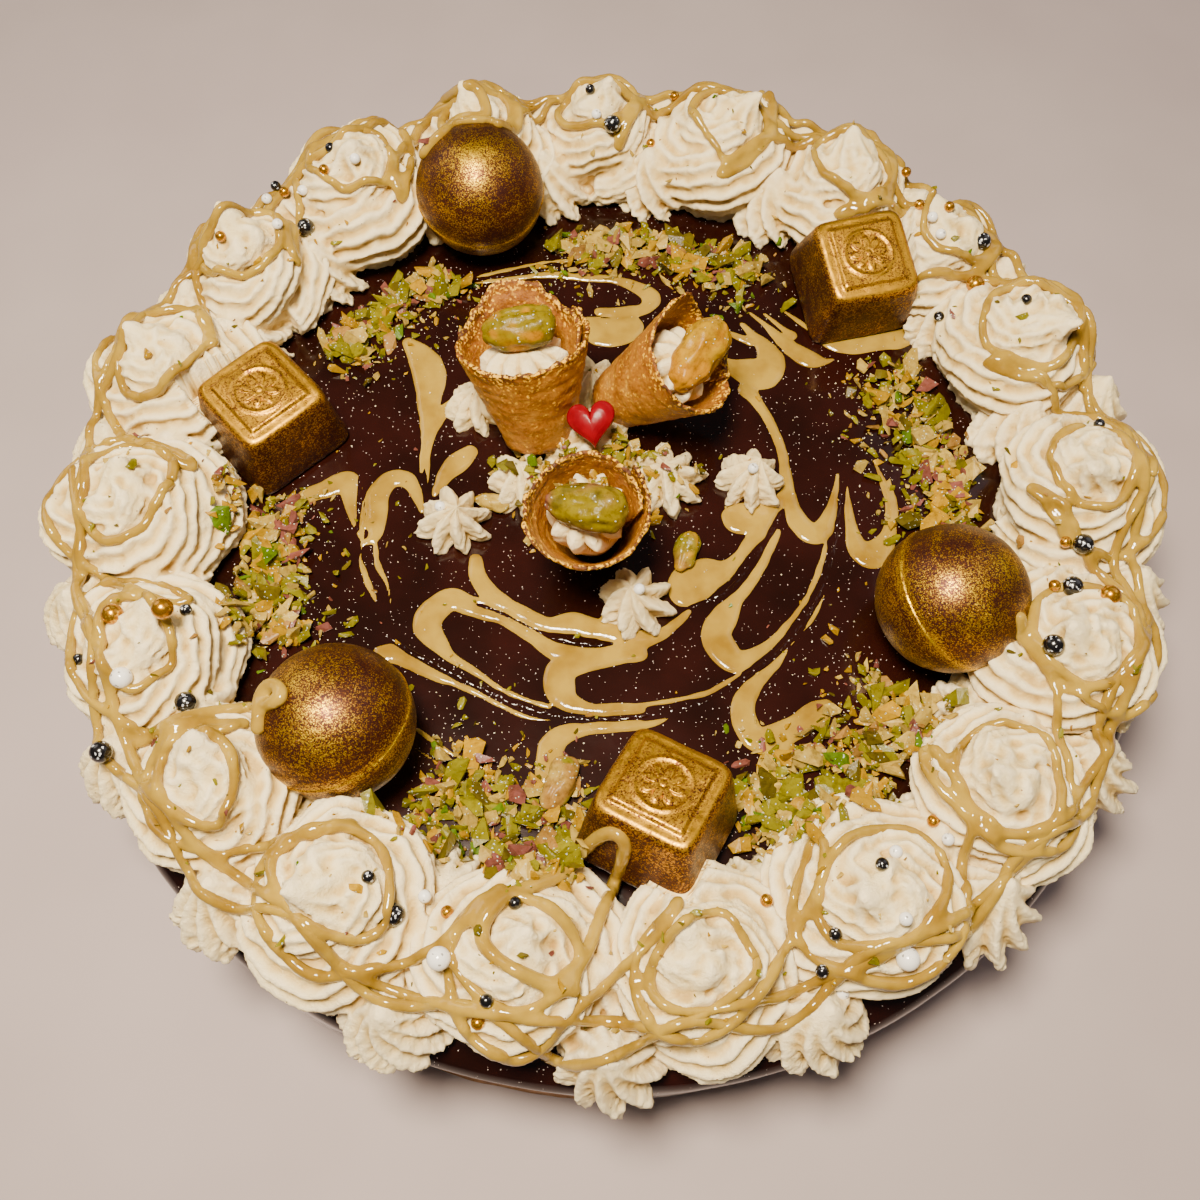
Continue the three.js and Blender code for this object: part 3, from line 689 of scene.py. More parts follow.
# --- ground to lay things on
class Ground:
    """The surfaces made so far, on which loose things are laid."""

    def __init__(self) -> None:
        """Starts with no surfaces."""
        self.trees: list[tuple[BVHTree, Vector, Vector, bool]] = []

    def add(self, piece: Piece, holds: bool = True) -> None:
        """Adds a finished piece, and whether crumbs stay lying on it.

        Args:
            piece: the piece.
            holds: whether crumbs stay lying on it.
        """
        graph = bpy.context.evaluated_depsgraph_get()
        corners = np.array([tuple(corner) for corner in piece.bound_box])
        self.trees.append((BVHTree.FromObject(piece, graph), Vector(corners.min(axis=0)),
                           Vector(corners.max(axis=0)), holds))

    def drop(self, x: float, y: float, top: float = 140.0) -> tuple[float, bool]:
        """Lets a point fall from above.

        Args:
            x: its place in millimetres.
            y: its place in millimetres.
            top: the height that it starts from.

        Returns:
            The height where it lands, and whether crumbs stay lying there.
        """
        best, stays = 0.0, False
        start, down = Vector((x * MM, y * MM, top * MM)), Vector((0, 0, -1))
        for tree, low, high, holds in self.trees:
            if low.x <= start.x <= high.x and low.y <= start.y <= high.y and high.z > best * MM:
                place = tree.ray_cast(start, down)[0]
                if place is not None and place.z / MM > best:
                    best, stays = place.z / MM, holds
        return best, stays

    def seen(self, u: float, v: float) -> Optional[tuple[Array, Vector]]:
        """The point of the surface that shows at a pixel of the 1200 x 1200 frame.

        Args:
            u: the pixel's column.
            v: the pixel's row.

        Returns:
            The point in millimetres and the surface's direction there, or nothing beside the cake.
        """
        camera = bpy.context.scene.camera
        half = 0.5 * IMAGE_SIDE
        reach = camera.data.lens / camera.data.sensor_width * IMAGE_SIDE
        turn = camera.matrix_world.to_3x3()
        line = (turn @ Vector((u - half, half - v, -reach))).normalized()
        start = camera.matrix_world.translation
        best, place, facing = 9.0, None, line
        for tree, _, _, _ in self.trees:
            hit, normal, _, distance = tree.ray_cast(start, line)
            if hit is not None and distance < best:
                best, place, facing = distance, hit, normal
        if place is None:
            return None
        return np.array(place) / MM, -facing if facing.dot(line) > 0 else facing


# --- studio
@dataclass
class Studio:
    """Floor, lights and the camera at the photograph's viewing angle. Places in millimetres."""

    camera_place: tuple[float, float, float] = (-1.47, -123.55, 273.2)
    camera_pitch: float = 24.2
    camera_roll: float = 1.05
    camera_lens: float = 34.35
    floor_side: float = 3000.0
    lamps: tuple[tuple[str, tuple[float, float, float], float, float, str], ...] = (
        ("key", (-60, -70, 470), 120, 6.4, "#fff0d6"), ("fill", (420, 260, 420), 500, 0.6, "#f6f0f4"),
        ("rim", (-460, 300, 380), 400, 0.9, "#fff6ee"),
    )
    room_light: float = 0.14

    def build(self) -> None:
        """Builds the floor, the lights and the camera."""
        half = 0.5 * self.floor_side
        corners = np.array([[-half, -half, 0], [half, -half, 0], [half, half, 0], [-half, half, 0]], float)
        mesh = Shape(corners, np.array([[0, 1, 2, 3]])).mesh("floor")
        mesh.materials.append(PaleFloor().material())
        floor = in_scene("floor", mesh)
        for lamp in self.lamps:
            self.light(*lamp)
        world = bpy.data.worlds.new("soft_room")
        world.use_nodes = True
        sky = world.node_tree.nodes["Background"]
        sky.inputs["Color"].default_value = linear("#e9e4e0")
        sky.inputs["Strength"].default_value = self.room_light
        bpy.context.scene.world = world
        lens = bpy.data.cameras.new("camera")
        lens.lens = self.camera_lens
        lens.sensor_width = 36.0
        lens.clip_start = 0.01
        camera = in_scene("camera", lens)
        pitch = Matrix.Rotation(math.radians(self.camera_pitch), 4, "X")
        roll = Matrix.Rotation(math.radians(self.camera_roll), 4, "Z")
        camera.matrix_world = Matrix.Translation(Vector(self.camera_place) * MM) @ pitch @ roll
        bpy.context.scene.camera = camera

    def light(self, name: str, place: tuple[float, float, float], size: float, watts: float,
              colour: str) -> None:
        """Hangs a soft round light that faces the cake's middle.

        Args:
            name: the lamp's name.
            place: where it hangs, in millimetres.
            size: its width, in millimetres.
            watts: its power.
            colour: its colour as "#rrggbb".
        """
        lamp = bpy.data.lights.new(name, "AREA")
        lamp.shape = "DISK"
        lamp.size = size * MM
        lamp.energy = watts
        lamp.color = linear(colour)[:3]
        holder = in_scene(name, lamp)
        spot = Vector(place) * MM
        aim = (Vector((0, 0, 0.04)) - spot).to_track_quat("-Z", "Y")
        holder.matrix_world = Matrix.Translation(spot) @ aim.to_matrix().to_4x4()


# --- cake and glaze
def body_radius(z: Array) -> Array:
    """The baked cake's radius at a height."""
    return BODY_FOOT_RADIUS + (BODY_TOP_RADIUS - BODY_FOOT_RADIUS) * z / BODY_HEIGHT


def drip_share(angle: Array) -> Array:
    """How far the glaze has run down at an angle, from 0 between the drips to 1 in a long one."""
    waves = 0.2 * np.sin(5 * angle + 0.6) + 0.2 * np.sin(9 * angle + 2.1) + 0.16 * np.sin(14 * angle + 4.4)
    return np.clip(0.5 + waves, 0, 1)


def glaze_level(x: Array, y: Array) -> Array:
    """The height of the glaze's nearly level top, with its slow waves.

    Args:
        x: places in millimetres.
        y: places in millimetres.

    Returns:
        The heights, in the same form as x.
    """
    points = np.column_stack([np.ravel(x), np.ravel(y), np.zeros(np.size(x))])
    return (GLAZE_TOP + layered(points, (0.16, 19.0, 3), (0.07, 8.0, 4))).reshape(np.shape(x))


@dataclass
class BakedBody:
    """The baked cake: straight side, a little wider at its foot, worn edges."""

    columns: int = 360

    def build(self) -> Piece:
        """Builds the closed drum with its uneven side.

        Returns:
            The piece.
        """
        angle = np.arange(self.columns) * TURN / self.columns
        profile = [(119.4, 0.0), (120.2, 0.35), (120.6, 1.2)]
        profile += [(float(body_radius(z)), z) for z in np.arange(2.4, 36.6, 1.3)]
        profile += [(117.2, 37.4), (116.2, 37.9), (108.0, 38.0), (60.0, 38.0), (20.0, 38.0)]
        rings = np.array([[[r * math.cos(a), r * math.sin(a), z] for a in angle] for r, z in profile])
        shape = loft(rings)
        push = layered(shape.points, (0.45, 7.0, 11), (0.3, 2.8, 12))
        side = ramp_up(0.3, 2.0, shape.points[:, 2]) * ramp_up(38.2, 36.8, shape.points[:, 2])
        flat = np.hypot(shape.points[:, 0], shape.points[:, 1])
        scale = 1 + (push - 0.3) * side / np.maximum(flat, 1)
        shape.points[:, :2] *= scale[:, None]
        return put("Baked_cake", shape, BAKED, "baked_cake", ["cake_body"])


# Caramel strokes on the glaze: x, y and width along each, one after the other, in tenths of a millimetre.
MARBLING: tuple[tuple[int, ...], ...] = (
    (-704, -17, 19, -697, 39, 40, -655, 63, 45, -602, 85, 57, -584, 36, 45, -565, -25, 26, -553, -65, 9),
    (-552, -75, 8, -527, -54, 28, -525, -4, 42, -529, 53, 52, -503, 93, 45, -466, 93, 40, -440, 55, 25,
     -424, 14, 16),
    (-495, 480, 30, -457, 434, 70, -437, 388, 82, -432, 331, 64, -432, 264, 37, -433, 209, 20, -435, 155,
     11, -434, 113, 6),
    (-334, 305, 29, -367, 307, 34, -395, 279, 30, -412, 237, 22, -420, 182, 13, -420, 129, 10, -415, 76,
     5),
    (-324, 171, 38, -351, 143, 55, -374, 114, 40, -390, 82, 25, -400, 56, 10),
    (-362, 677, 8, -264, 711, 11, -165, 737, 9, -31, 749, 13),
    (-376, 661, 8, -263, 683, 16, -164, 697, 20, -55, 689, 24, 0, 686, 24, 55, 666, 34, 98, 634, 48, 85,
     598, 35, 28, 585, 34, -31, 585, 22),
    (-100, 527, 33, -62, 538, 61, -19, 522, 83, 23, 527, 83, 47, 540, 67),
    (269, 539, 10, 312, 517, 16, 343, 501, 22),
    (324, 556, 12, 347, 527, 19, 375, 492, 39, 391, 444, 69, 371, 406, 82, 340, 411, 82, 303, 423, 49, 267,
     442, 33),
    (327, 361, 41, 357, 318, 28, 385, 258, 24, 403, 198, 24, 411, 128, 26, 419, 59, 31, 433, 3, 49, 468,
     -29, 50, 497, -1, 41, 519, 61, 22, 532, 131, 7),
    (341, 593, 7, 377, 558, 12, 413, 516, 28, 453, 475, 47, 484, 453, 50, 521, 447, 19, 545, 454, 7),
    (381, 588, 8, 420, 549, 12, 448, 523, 24),
    (417, 608, 7, 454, 576, 11, 505, 531, 19, 540, 499, 34, 587, 494, 51, 653, 508, 51, 707, 519, 58, 738,
     536, 39),
    (616, 185, 5, 635, 110, 14, 646, 36, 22, 635, -31, 38, 600, -76, 69, 564, -60, 48, 553, 6, 24, 551, 62,
     14, 552, 102, 5),
    (648, 145, 5, 657, 76, 10, 661, 8, 10),
    (-294, -107, 29, -287, -147, 38, -261, -186, 41, -220, -220, 41, -168, -244, 35, -124, -262, 34, -74,
     -257, 53, -31, -267, 47, 16, -279, 36, 74, -289, 24),
    (-130, -311, 28, -186, -274, 30, -226, -250, 29, -266, -233, 43, -306, -219, 47, -343, -207, 55, -380,
     -236, 61, -391, -270, 61, -367, -307, 44, -329, -344, 22, -277, -376, 16, -218, -415, 12, -160, -438,
     11, -118, -451, 9),
    (-146, -303, 28, -107, -323, 44, -49, -320, 38, 9, -312, 30, 74, -316, 28),
    (74, -328, 32, 9, -341, 32, -48, -351, 44, -94, -368, 64, -97, -405, 67, -80, -436, 47, -38, -453, 29,
     11, -457, 24, 74, -455, 24),
    (-484, -339, 40, -445, -338, 48, -393, -368, 34, -353, -388, 25, -310, -405, 17, -270, -425, 12, -216,
     -452, 12, -166, -474, 10, -109, -482, 7),
    (74, -487, 20, 11, -494, 23, -45, -500, 28, -88, -513, 45, -110, -537, 54, -114, -573, 56, -122, -604,
     36, -119, -619, 11),
    (-393, -506, 9, -361, -528, 9, -322, -554, 8, -276, -573, 8, -231, -595, 5),
    (-397, -544, 6, -366, -563, 8, -331, -585, 8, -308, -596, 5),
    (-546, -18, 20, -526, -58, 9, -513, -121, 14, -487, -173, 8, -472, -225, 4),
    (-553, -65, 9, -553, -108, 7, -537, -152, 15, -517, -195, 12, -498, -232, 4),
    (382, -23, 21, 362, -76, 20, 334, -129, 22, 305, -172, 26, 281, -200, 35, 258, -238, 59, 239, -279, 65,
     256, -319, 65, 278, -340, 51, 314, -326, 34, 352, -301, 21, 387, -262, 16, 423, -216, 11, 451, -169,
     13, 479, -103, 13, 495, -45, 7),
    (496, -131, 7, 476, -183, 13, 452, -225, 18, 429, -257, 22, 394, -298, 19, 371, -339, 18, 337, -374,
     26, 305, -410, 42, 291, -449, 51, 300, -491, 55, 319, -517, 50, 351, -500, 38, 393, -476, 26, 435,
     -446, 30, 468, -439, 34),
    (471, -454, 21, 424, -488, 26, 383, -514, 28, 357, -552, 54, 344, -585, 58, 354, -625, 49, 368, -652,
     28),
    (196, -207, 8, 162, -244, 20, 124, -277, 27, 70, -300, 40, 29, -314, 43, -13, -325, 41),
    (292, -371, 8, 242, -402, 17, 217, -414, 13, 152, -430, 10, 70, -444, 13, -11, -450, 17),
    (-10, -492, 21, 71, -490, 18, 131, -473, 8, 172, -451, 4),
    (365, -3, 36, 324, -48, 32, 293, -92, 28, 257, -124, 49, 216, -136, 84, 178, -156, 84, 167, -189, 48,
     196, -197, 22, 239, -169, 13),
    (-3, -245, 20, 11, -265, 26, 49, -283, 17, 91, -277, 13),
    (276, 17, 31, 305, 9, 80, 350, 24, 62, 386, 47, 31, 408, 88, 16),
)

# Where the tines passed: dark crinkled lines with the caramel parted on both sides, given in the same way.
TINES: tuple[tuple[int, ...], ...] = (
    (-576, 94, 10, -570, 30, 13, -566, -38, 10),
    (-522, -265, 10, -425, -328, 17, -350, -368, 18, -260, -412, 19, -160, -456, 19, -60, -474, 16, 40,
     -473, 14, 130, -456, 16, 220, -428, 17, 295, -378, 16, 372, -316, 15, 438, -236, 15, 484, -146, 13,
     516, -40, 14, 536, 80, 12),
    (-286, -216, 7, -222, -240, 9, -164, -270, 9, -100, -296, 16, -30, -306, 17, 15, -304, 8),
    (186, -214, 12, 262, -176, 15, 314, -114, 15, 360, -44, 15, 394, 24, 12),
    (-366, 668, 8, -240, 700, 16, -120, 720, 17, -20, 722, 12),
    (-432, 200, 4, -426, 120, 5, -422, 40, 4),
)


def stroke_rows(stroke: Sequence[int]) -> Array:
    """A stroke's x, y and width as rows in millimetres."""
    return np.array(stroke).reshape(-1, 3) / 10


@dataclass
class Glaze:
    """The glaze: level top, round shoulder, skirt run into drips, and the caramel dragged into it."""

    columns: int = 360
    ring_step: float = 1.6
    cell: float = 0.48  # of the caramel's grid
    skin: float = 0.55  # how proud the caramel lies

    def build(self, ground: Ground) -> None:
        """Builds the glaze, the marbling and the crinkled tine lines.

        Args:
            ground: gets the glaze's surface.
        """
        ground.add(put("Glaze_coat", self.coat(), GLAZE, "chocolate_glaze", ["chocolate_glaze"]))
        ground.add(put("Caramel_marbling", self.marbling(), CARAMEL, "caramel"))
        put("Tine_lines", self.tine_lines(), GLAZE, "chocolate_glaze")

    def coat(self) -> Shape:
        """The glaze's skin from the middle of its top to the lip that hugs the cake's side.

        Returns:
            The closed skin.
        """
        angle = np.arange(self.columns) * TURN / self.columns
        drip = drip_share(angle)
        end = GLAZE_TOP - (9 + 10 * drip)
        bulge = 0.6 + 2 * drip
        wall = body_radius(end)
        knots = [(111.5 + 0 * end, 43.0 + 0 * end), (115.2 + 0 * end, 42.7 + 0 * end),
                 (117.9 + 0 * end, 41.7 + 0 * end), (119.7 + 0 * end, 40.1 + 0 * end),
                 (GLAZE_RADIUS + 0 * end, BODY_HEIGHT + 0 * end),
                 (0.5 * (GLAZE_RADIUS + wall + 0.7 + bulge), 0.5 * (BODY_HEIGHT + end + 3)),
                 (wall + 0.7 + bulge, end + 3), (wall + 0.66 + 0.94 * bulge, end + 1.5),
                 (wall + 0.5 + 0.6 * bulge, end + 0.4), (wall + 0.3 + 0.2 * bulge, end),
                 (wall - 0.2, end + 0.3), (wall - 1.2, end + 2.0)]
        fine = np.linspace(0, len(knots) - 1, 38)
        rims = np.array([[np.interp(fine, np.arange(len(knots)), [knot[axis][i] for knot in knots])
                          for i in range(self.columns)] for axis in (0, 1)])
        for _ in range(3):
            rims[:, :, 1:-1] = 0.25 * rims[:, :, :-2] + 0.5 * rims[:, :, 1:-1] + 0.25 * rims[:, :, 2:]
        flat = np.arange(0.6, 111.0, self.ring_step)
        radius = np.concatenate([np.repeat(flat[:, None], self.columns, 1), rims[0].T])
        x, y = radius * np.cos(angle), radius * np.sin(angle)
        level = np.concatenate([np.full((len(flat), self.columns), GLAZE_TOP), rims[1].T])
        settle = ramp_up(118.0, 106.0, radius)
        level = level + settle * (glaze_level(x, y) - GLAZE_TOP)
        under = np.stack([(radius[-1] - 3) * np.cos(angle), (radius[-1] - 3) * np.sin(angle),
                          np.full(self.columns, 36.0)], axis=-1)
        rings = np.concatenate([np.stack([x, y, level], axis=-1), under[None]])
        shape = loft(rings[::-1])
        side = ramp_up(118.5, 120.5, np.hypot(shape.points[:, 0], shape.points[:, 1]))
        wave = 0.35 * lattice_noise(shape.points * [1, 1, 0.4], 9.0, 5) * side
        shape.points[:, :2] *= (1 + wave / 120)[:, None]
        return shape

    def field(self) -> tuple[Array, Array, Array]:
        """How far inside a caramel stroke each spot of the top lies.

        Returns:
            The x and y of the grid, and the distance, positive inside.
        """
        axis = np.arange(-84.0, 84.0, self.cell)
        x, y = np.meshgrid(axis, axis, indexing="ij")
        inside = np.full(x.shape, -3.0)
        for strokes, cut in ((MARBLING, False), (TINES, True)):
            for stroke in strokes:
                for px, py, width in smooth_path(stroke_rows(stroke), 0.35):
                    reach = 0.5 * width + 2.2
                    low = np.searchsorted(axis, (px - reach, py - reach))
                    high = np.searchsorted(axis, (px + reach, py + reach))
                    part = (slice(low[0], high[0]), slice(low[1], high[1]))
                    depth = 0.5 * width - np.hypot(x[part] - px, y[part] - py)
                    inside[part] = np.minimum(inside[part], -depth) if cut else \
                        np.maximum(inside[part], depth)
        points = np.column_stack([x.ravel(), y.ravel(), np.zeros(x.size)])
        return x, y, inside + 0.16 * lattice_noise(points, 2.2, 21).reshape(x.shape)

    def marbling(self) -> Shape:
        """The caramel as a low dome over every stroke, sunk into the glaze at its edges.

        Returns:
            The closed solid.
        """
        x, y, inside = self.field()
        for _ in range(2):
            inside[1:-1, 1:-1] = 0.5 * inside[1:-1, 1:-1] + 0.125 * (
                inside[:-2, 1:-1] + inside[2:, 1:-1] + inside[1:-1, :-2] + inside[1:-1, 2:])
        dome = np.where(inside > 0, self.skin * (1 - np.exp(-np.maximum(inside, 0) / 0.5)), inside)
        near = (inside > -0.75) & (np.hypot(x, y) < 92)
        kept = near[:-1, :-1] & near[1:, :-1] & near[1:, 1:] & near[:-1, 1:]
        index = np.arange(x.size).reshape(x.shape)
        faces = np.stack([index[:-1, :-1], index[1:, :-1], index[1:, 1:], index[:-1, 1:]], -1)[kept]
        level = glaze_level(x, y) + np.maximum(dome, -0.5)
        points = np.stack([x, y, level], axis=-1).reshape(-1, 3)
        used = np.unique(faces)
        renumber = np.full(len(points), -1)
        renumber[used] = np.arange(len(used))
        top = Shape(points[used], renumber[faces])
        return closed_below(top, GLAZE_TOP - 0.9)

    def tine_lines(self) -> Shape:
        """A crinkled bead of glaze along each tine's path, broken into small facets.

        Returns:
            All the beads.
        """
        lines = None
        for number, stroke in enumerate(TINES):
            path = smooth_path(stroke_rows(stroke), 0.4)
            place = np.column_stack([path[:, :2], glaze_level(path[:, 0], path[:, 1]) - 0.25])
            bead = tube(place, 0.36 * path[:, 2], 12)
            push = lattice_noise(bead.points, 0.8, 31 + number)
            bead.points[:, 2] = place[0, 2] + 0.55 * (bead.points[:, 2] - place[0, 2]) + 0.28 * push
            lines = bead if lines is None else lines + bead
        return lines


def closed_below(top: Shape, level: float) -> Shape:
    """Gives an open sheet a flat underside and walls, so that it is a closed solid.

    Args:
        top: the sheet, its faces upwards.
        level: the height of the underside.

    Returns:
        The closed solid.
    """
    count = len(top.points)
    under = top.points.copy()
    under[:, 2] = level
    starts, ends = top.links()
    forward = set(zip(starts.tolist(), ends.tolist()))
    rim = [(a, b) for a, b in forward if (b, a) not in forward]
    walls = np.array([(b, a, a + count, b + count) for a, b in sorted(rim)])
    faces = np.vstack([top.faces, top.faces[:, ::-1] + count, walls])
    return Shape(np.vstack([top.points, under]), faces)


# --- cream
def ridged(angle: Array, lobes: int, depth: float) -> Array:
    """A star nozzle's section: edged ridges with narrow creases, 1 on the ridges."""
    apart = 1 - np.abs(2 * np.mod(angle * lobes / TURN, 1.0) - 1)
    return 1 - depth * (0.45 * apart + 0.55 * apart ** 2)


def pointed(angle: Array, lobes: int, depth: float) -> Array:
    """A closed star nozzle's section: full petals with a light edge and narrow creases, 1 on the ridges."""
    apart = 1 - np.abs(2 * np.mod(angle * lobes / TURN, 1.0) - 1)
    return 1 - depth * (0.75 * apart + 0.25 * apart ** 2)


def swirl(radius: float, height: float, seed: int) -> Shape:
    """A large rosette as piped: a ridged rope laid in a rising spiral, and its peak.

    Args:
        radius: of the whole rosette, in millimetres.
        height: to its tip.
        seed: picks its own irregularities.

    Returns:
        The overlapping meshes, standing on z = 0.
    """
    draw = np.random.default_rng(seed)
    turns = 2.4
    start = draw.uniform(0, TURN)
    wobble = draw.uniform(0, TURN, 4)
    t = np.linspace(0, turns, 260)
    knots = [0, 1, 2, turns]
    reach = np.interp(t, knots, [0.57, 0.37, 0.14, 0.03]) * radius
    thick = np.interp(t, knots, [0.43, 0.36, 0.22, 0.1]) * radius * (0.55 + 0.45 * ramp_up(0, 0.2, t))
    level = np.interp(t, knots, [0.2, 0.49, 0.76, 0.9]) * height
    reach = reach * (1 + 0.07 * np.sin(2.3 * TURN * t + wobble[0])
                     + 0.04 * np.sin(5.7 * TURN * t + wobble[2]))
    thick = thick * (1 + 0.05 * np.sin(3.1 * TURN * t + wobble[1]))
    level = level + 0.03 * height * np.sin(4.6 * TURN * t + wobble[3])
    turn = start + TURN * t
    out = np.column_stack([np.cos(turn), np.sin(turn), np.zeros_like(t)])
    up = np.array([0.0, 0.0, 1.0])
    angle = np.arange(156) * TURN / 156
    twist = (-0.5 * TURN * t + 0.1 * np.sin(3.2 * TURN * t + wobble[2])
             + 0.04 * np.sin(13.1 * TURN * t + wobble[3]))
    section = ridged(angle[None] + twist[:, None], 13, 0.33) * thick[:, None]
    rings = (out * reach[:, None] + np.outer(level, up))[:, None] \
        + section[..., None] * (np.cos(angle)[None, :, None] * out[:, None]
                                + np.sin(angle)[None, :, None] * up)
    rope = loft(rings)
    lean = draw.uniform(-0.2, 0.2, 2) * height
    core = [(0.62, 0.0), (0.55, 0.3), (0.34, 0.6), (0.12, 0.85)]
    heart = loft(np.array([[[r * radius * math.cos(a), r * radius * math.sin(a), z * height]
                            for a in np.arange(24) * TURN / 24] for r, z in core]))
    width, rise = profile([(0.4, 0.58), (0.4, 0.68), (0.34, 0.79), (0.24, 0.89), (0.14, 0.97), (0.07, 1.03),
                           (0.02, 1.06)], 30)
    angle = np.arange(64) * TURN / 64
    rings = []
    for share, z in zip(width, rise):
        bend = max(0.0, (z - 0.7) / 0.3) ** 1.5
        reach = pointed(angle + 3.6 * z, 7, 0.46) * share * radius
        rings.append(level_ring(reach, angle, z * height, bend * lean))
    return rope + heart + loft(np.array(rings))


def star(radius: float, height: float, lobes: int, seed: int, spin: float = 1.0) -> Shape:
    """A small star as piped: deep petals that twist a little and close in a bent peak.

    Args:
        radius: across its petals' tips.
        height: to its peak.
        lobes: the number of petals.
        seed: picks its own irregularities.
        spin: how strongly its petals turn, against a plain star.

    Returns:
        The closed mesh, standing on z = 0.
    """
    draw = np.random.default_rng(seed)
    width, rise = profile([(0.86, 0.0), (0.97, 0.06), (1.0, 0.18), (0.93, 0.33), (0.78, 0.5), (0.58, 0.66),
                           (0.37, 0.8), (0.2, 0.9), (0.08, 0.97), (0.02, 1.0)], 34)
    count = 16 * lobes
    angle = np.arange(count) * TURN / count
    uneven = 1 + 0.1 * draw.uniform(-1, 1, lobes)[np.arange(count) * lobes // count]
    uneven = np.convolve(np.concatenate([uneven[-6:], uneven, uneven[:6]]), np.ones(13) / 13, "valid")
    lean = draw.uniform(-0.16, 0.16, 2) * height
    turn, twist = draw.uniform(0, TURN), spin * draw.uniform(0.3, 0.75)
    rings = []
    for share, z in zip(width, rise):
        reach = pointed(angle + turn + twist * z, lobes, 0.5 - 0.06 * z) * share * radius
        rings.append(level_ring(reach * (1 + (uneven - 1) * (1 - z)), angle, z * height, z ** 2.5 * lean))
    return loft(np.array(rings))


def creamed(shape: Shape, seed: int, foot: float, ragged: float = 0.35) -> Shape:
    """Roughens a smooth cream form as whipped cream is.

    Args:
        shape: the form in the cake's frame.
        seed: picks the pattern.
        foot: the height that it stands at.
        ragged: how torn its lowest edge is, in millimetres.

    Returns:
        The roughened form.
    """
    normals = shape.normals()
    low = ramp_up(foot + 9, foot + 1.0, shape.points[:, 2])
    push = layered(shape.points, (0.22, 5.0, seed), (0.14, 1.9, seed + 1))
    push += ragged * (0.46 + 1.8 * low) * lattice_noise(shape.points * [1, 1, 1.6], 1.3, seed + 2)
    points = shape.points + normals * push[:, None]
    points += 0.5 * np.column_stack([lattice_noise(shape.points, 9.0, seed + 3 + axis) for axis in range(3)])
    points[:, 2] = np.maximum(points[:, 2], foot - 0.6)
    return Shape(points, shape.faces)


def crease_values(shape: Shape, scale: float) -> Array:
    """Painted crease shade for the cream's tone: about 0.3 on ridges and 1 in the deepest creases, which are
    painted darkest.
    """
    # painted shade: deeper creases get a darker tone
    return np.clip(0.35 + shape.hollow(2) * scale, 0, 1)


@dataclass
class CreamBorder:
    """The border: nineteen swirls, each with the small stars of the gap beside it."""

    cell: float = 0.62
    # Each gap's stars, outside to inside: their ring, radius, height, petals, first seed and spin.
    star_rows: tuple[tuple[float, float, float, int, int, float], ...] = (
        (113.2, 11.4, 17.5, 10, 200, 2.4), (98.0, 12.0, 16.0, 10, 250, 2.4), (88.0, 8.2, 11.4, 8, 300, 1.0))

    def build(self, ground: Ground, blocks: Sequence["GoldBlock"]) -> list[tuple[Array, float, float]]:
        """Builds every swirl.

        Args:
            ground: gets their surfaces.
            blocks: the chocolates that press into them.

        Returns:
            Each swirl's middle on the glaze, its radius and its height.
        """
        crowns = []
        for index, azimuth in enumerate(STAR_AZIMUTHS):
            before = STAR_AZIMUTHS[index - 1]
            stretch = (azimuth - before + 180) % 360 - 180
            centre = before + 0.5 * stretch
            ring = 102.5 + 3.5 * math.sin(math.radians(centre))
            fit = 1.05 * ring * math.tan(math.radians(0.5 * stretch))
            radius = min(18.8, max(14.2, fit))
            node = f"cream_rosette_{index + 1:02d}"
            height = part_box(node)[1].z / MM - GLAZE_TOP
            place = polar(centre, ring, FOOT)
            shape = swirl(1.27 * radius, height + 1.5, 100 + index).stood(place)
            count = 3 if azimuth in INNER_STAR_AZIMUTHS else 2
            for reach, wide, tall, lobes, seed, spin in self.star_rows[:count]:
                small = star(wide, tall, lobes, seed + index, spin)
                shape = shape + small.stood(polar(azimuth, reach, FOOT))
            shape = creamed(fused(shape, self.cell).relaxed(1, 0.4), 400 + 10 * index, GLAZE_TOP)
            for block in blocks:
                block.press(shape)
            # the swirl's tone gets painted shade in its creases
            ground.add(put(f"Piped_swirl_{index + 1:02d}", shape, CREAM, "whipped_cream", [node],
                           crease=crease_values(shape, 4.6)))
            crowns.append((place, radius, height))
        return crowns


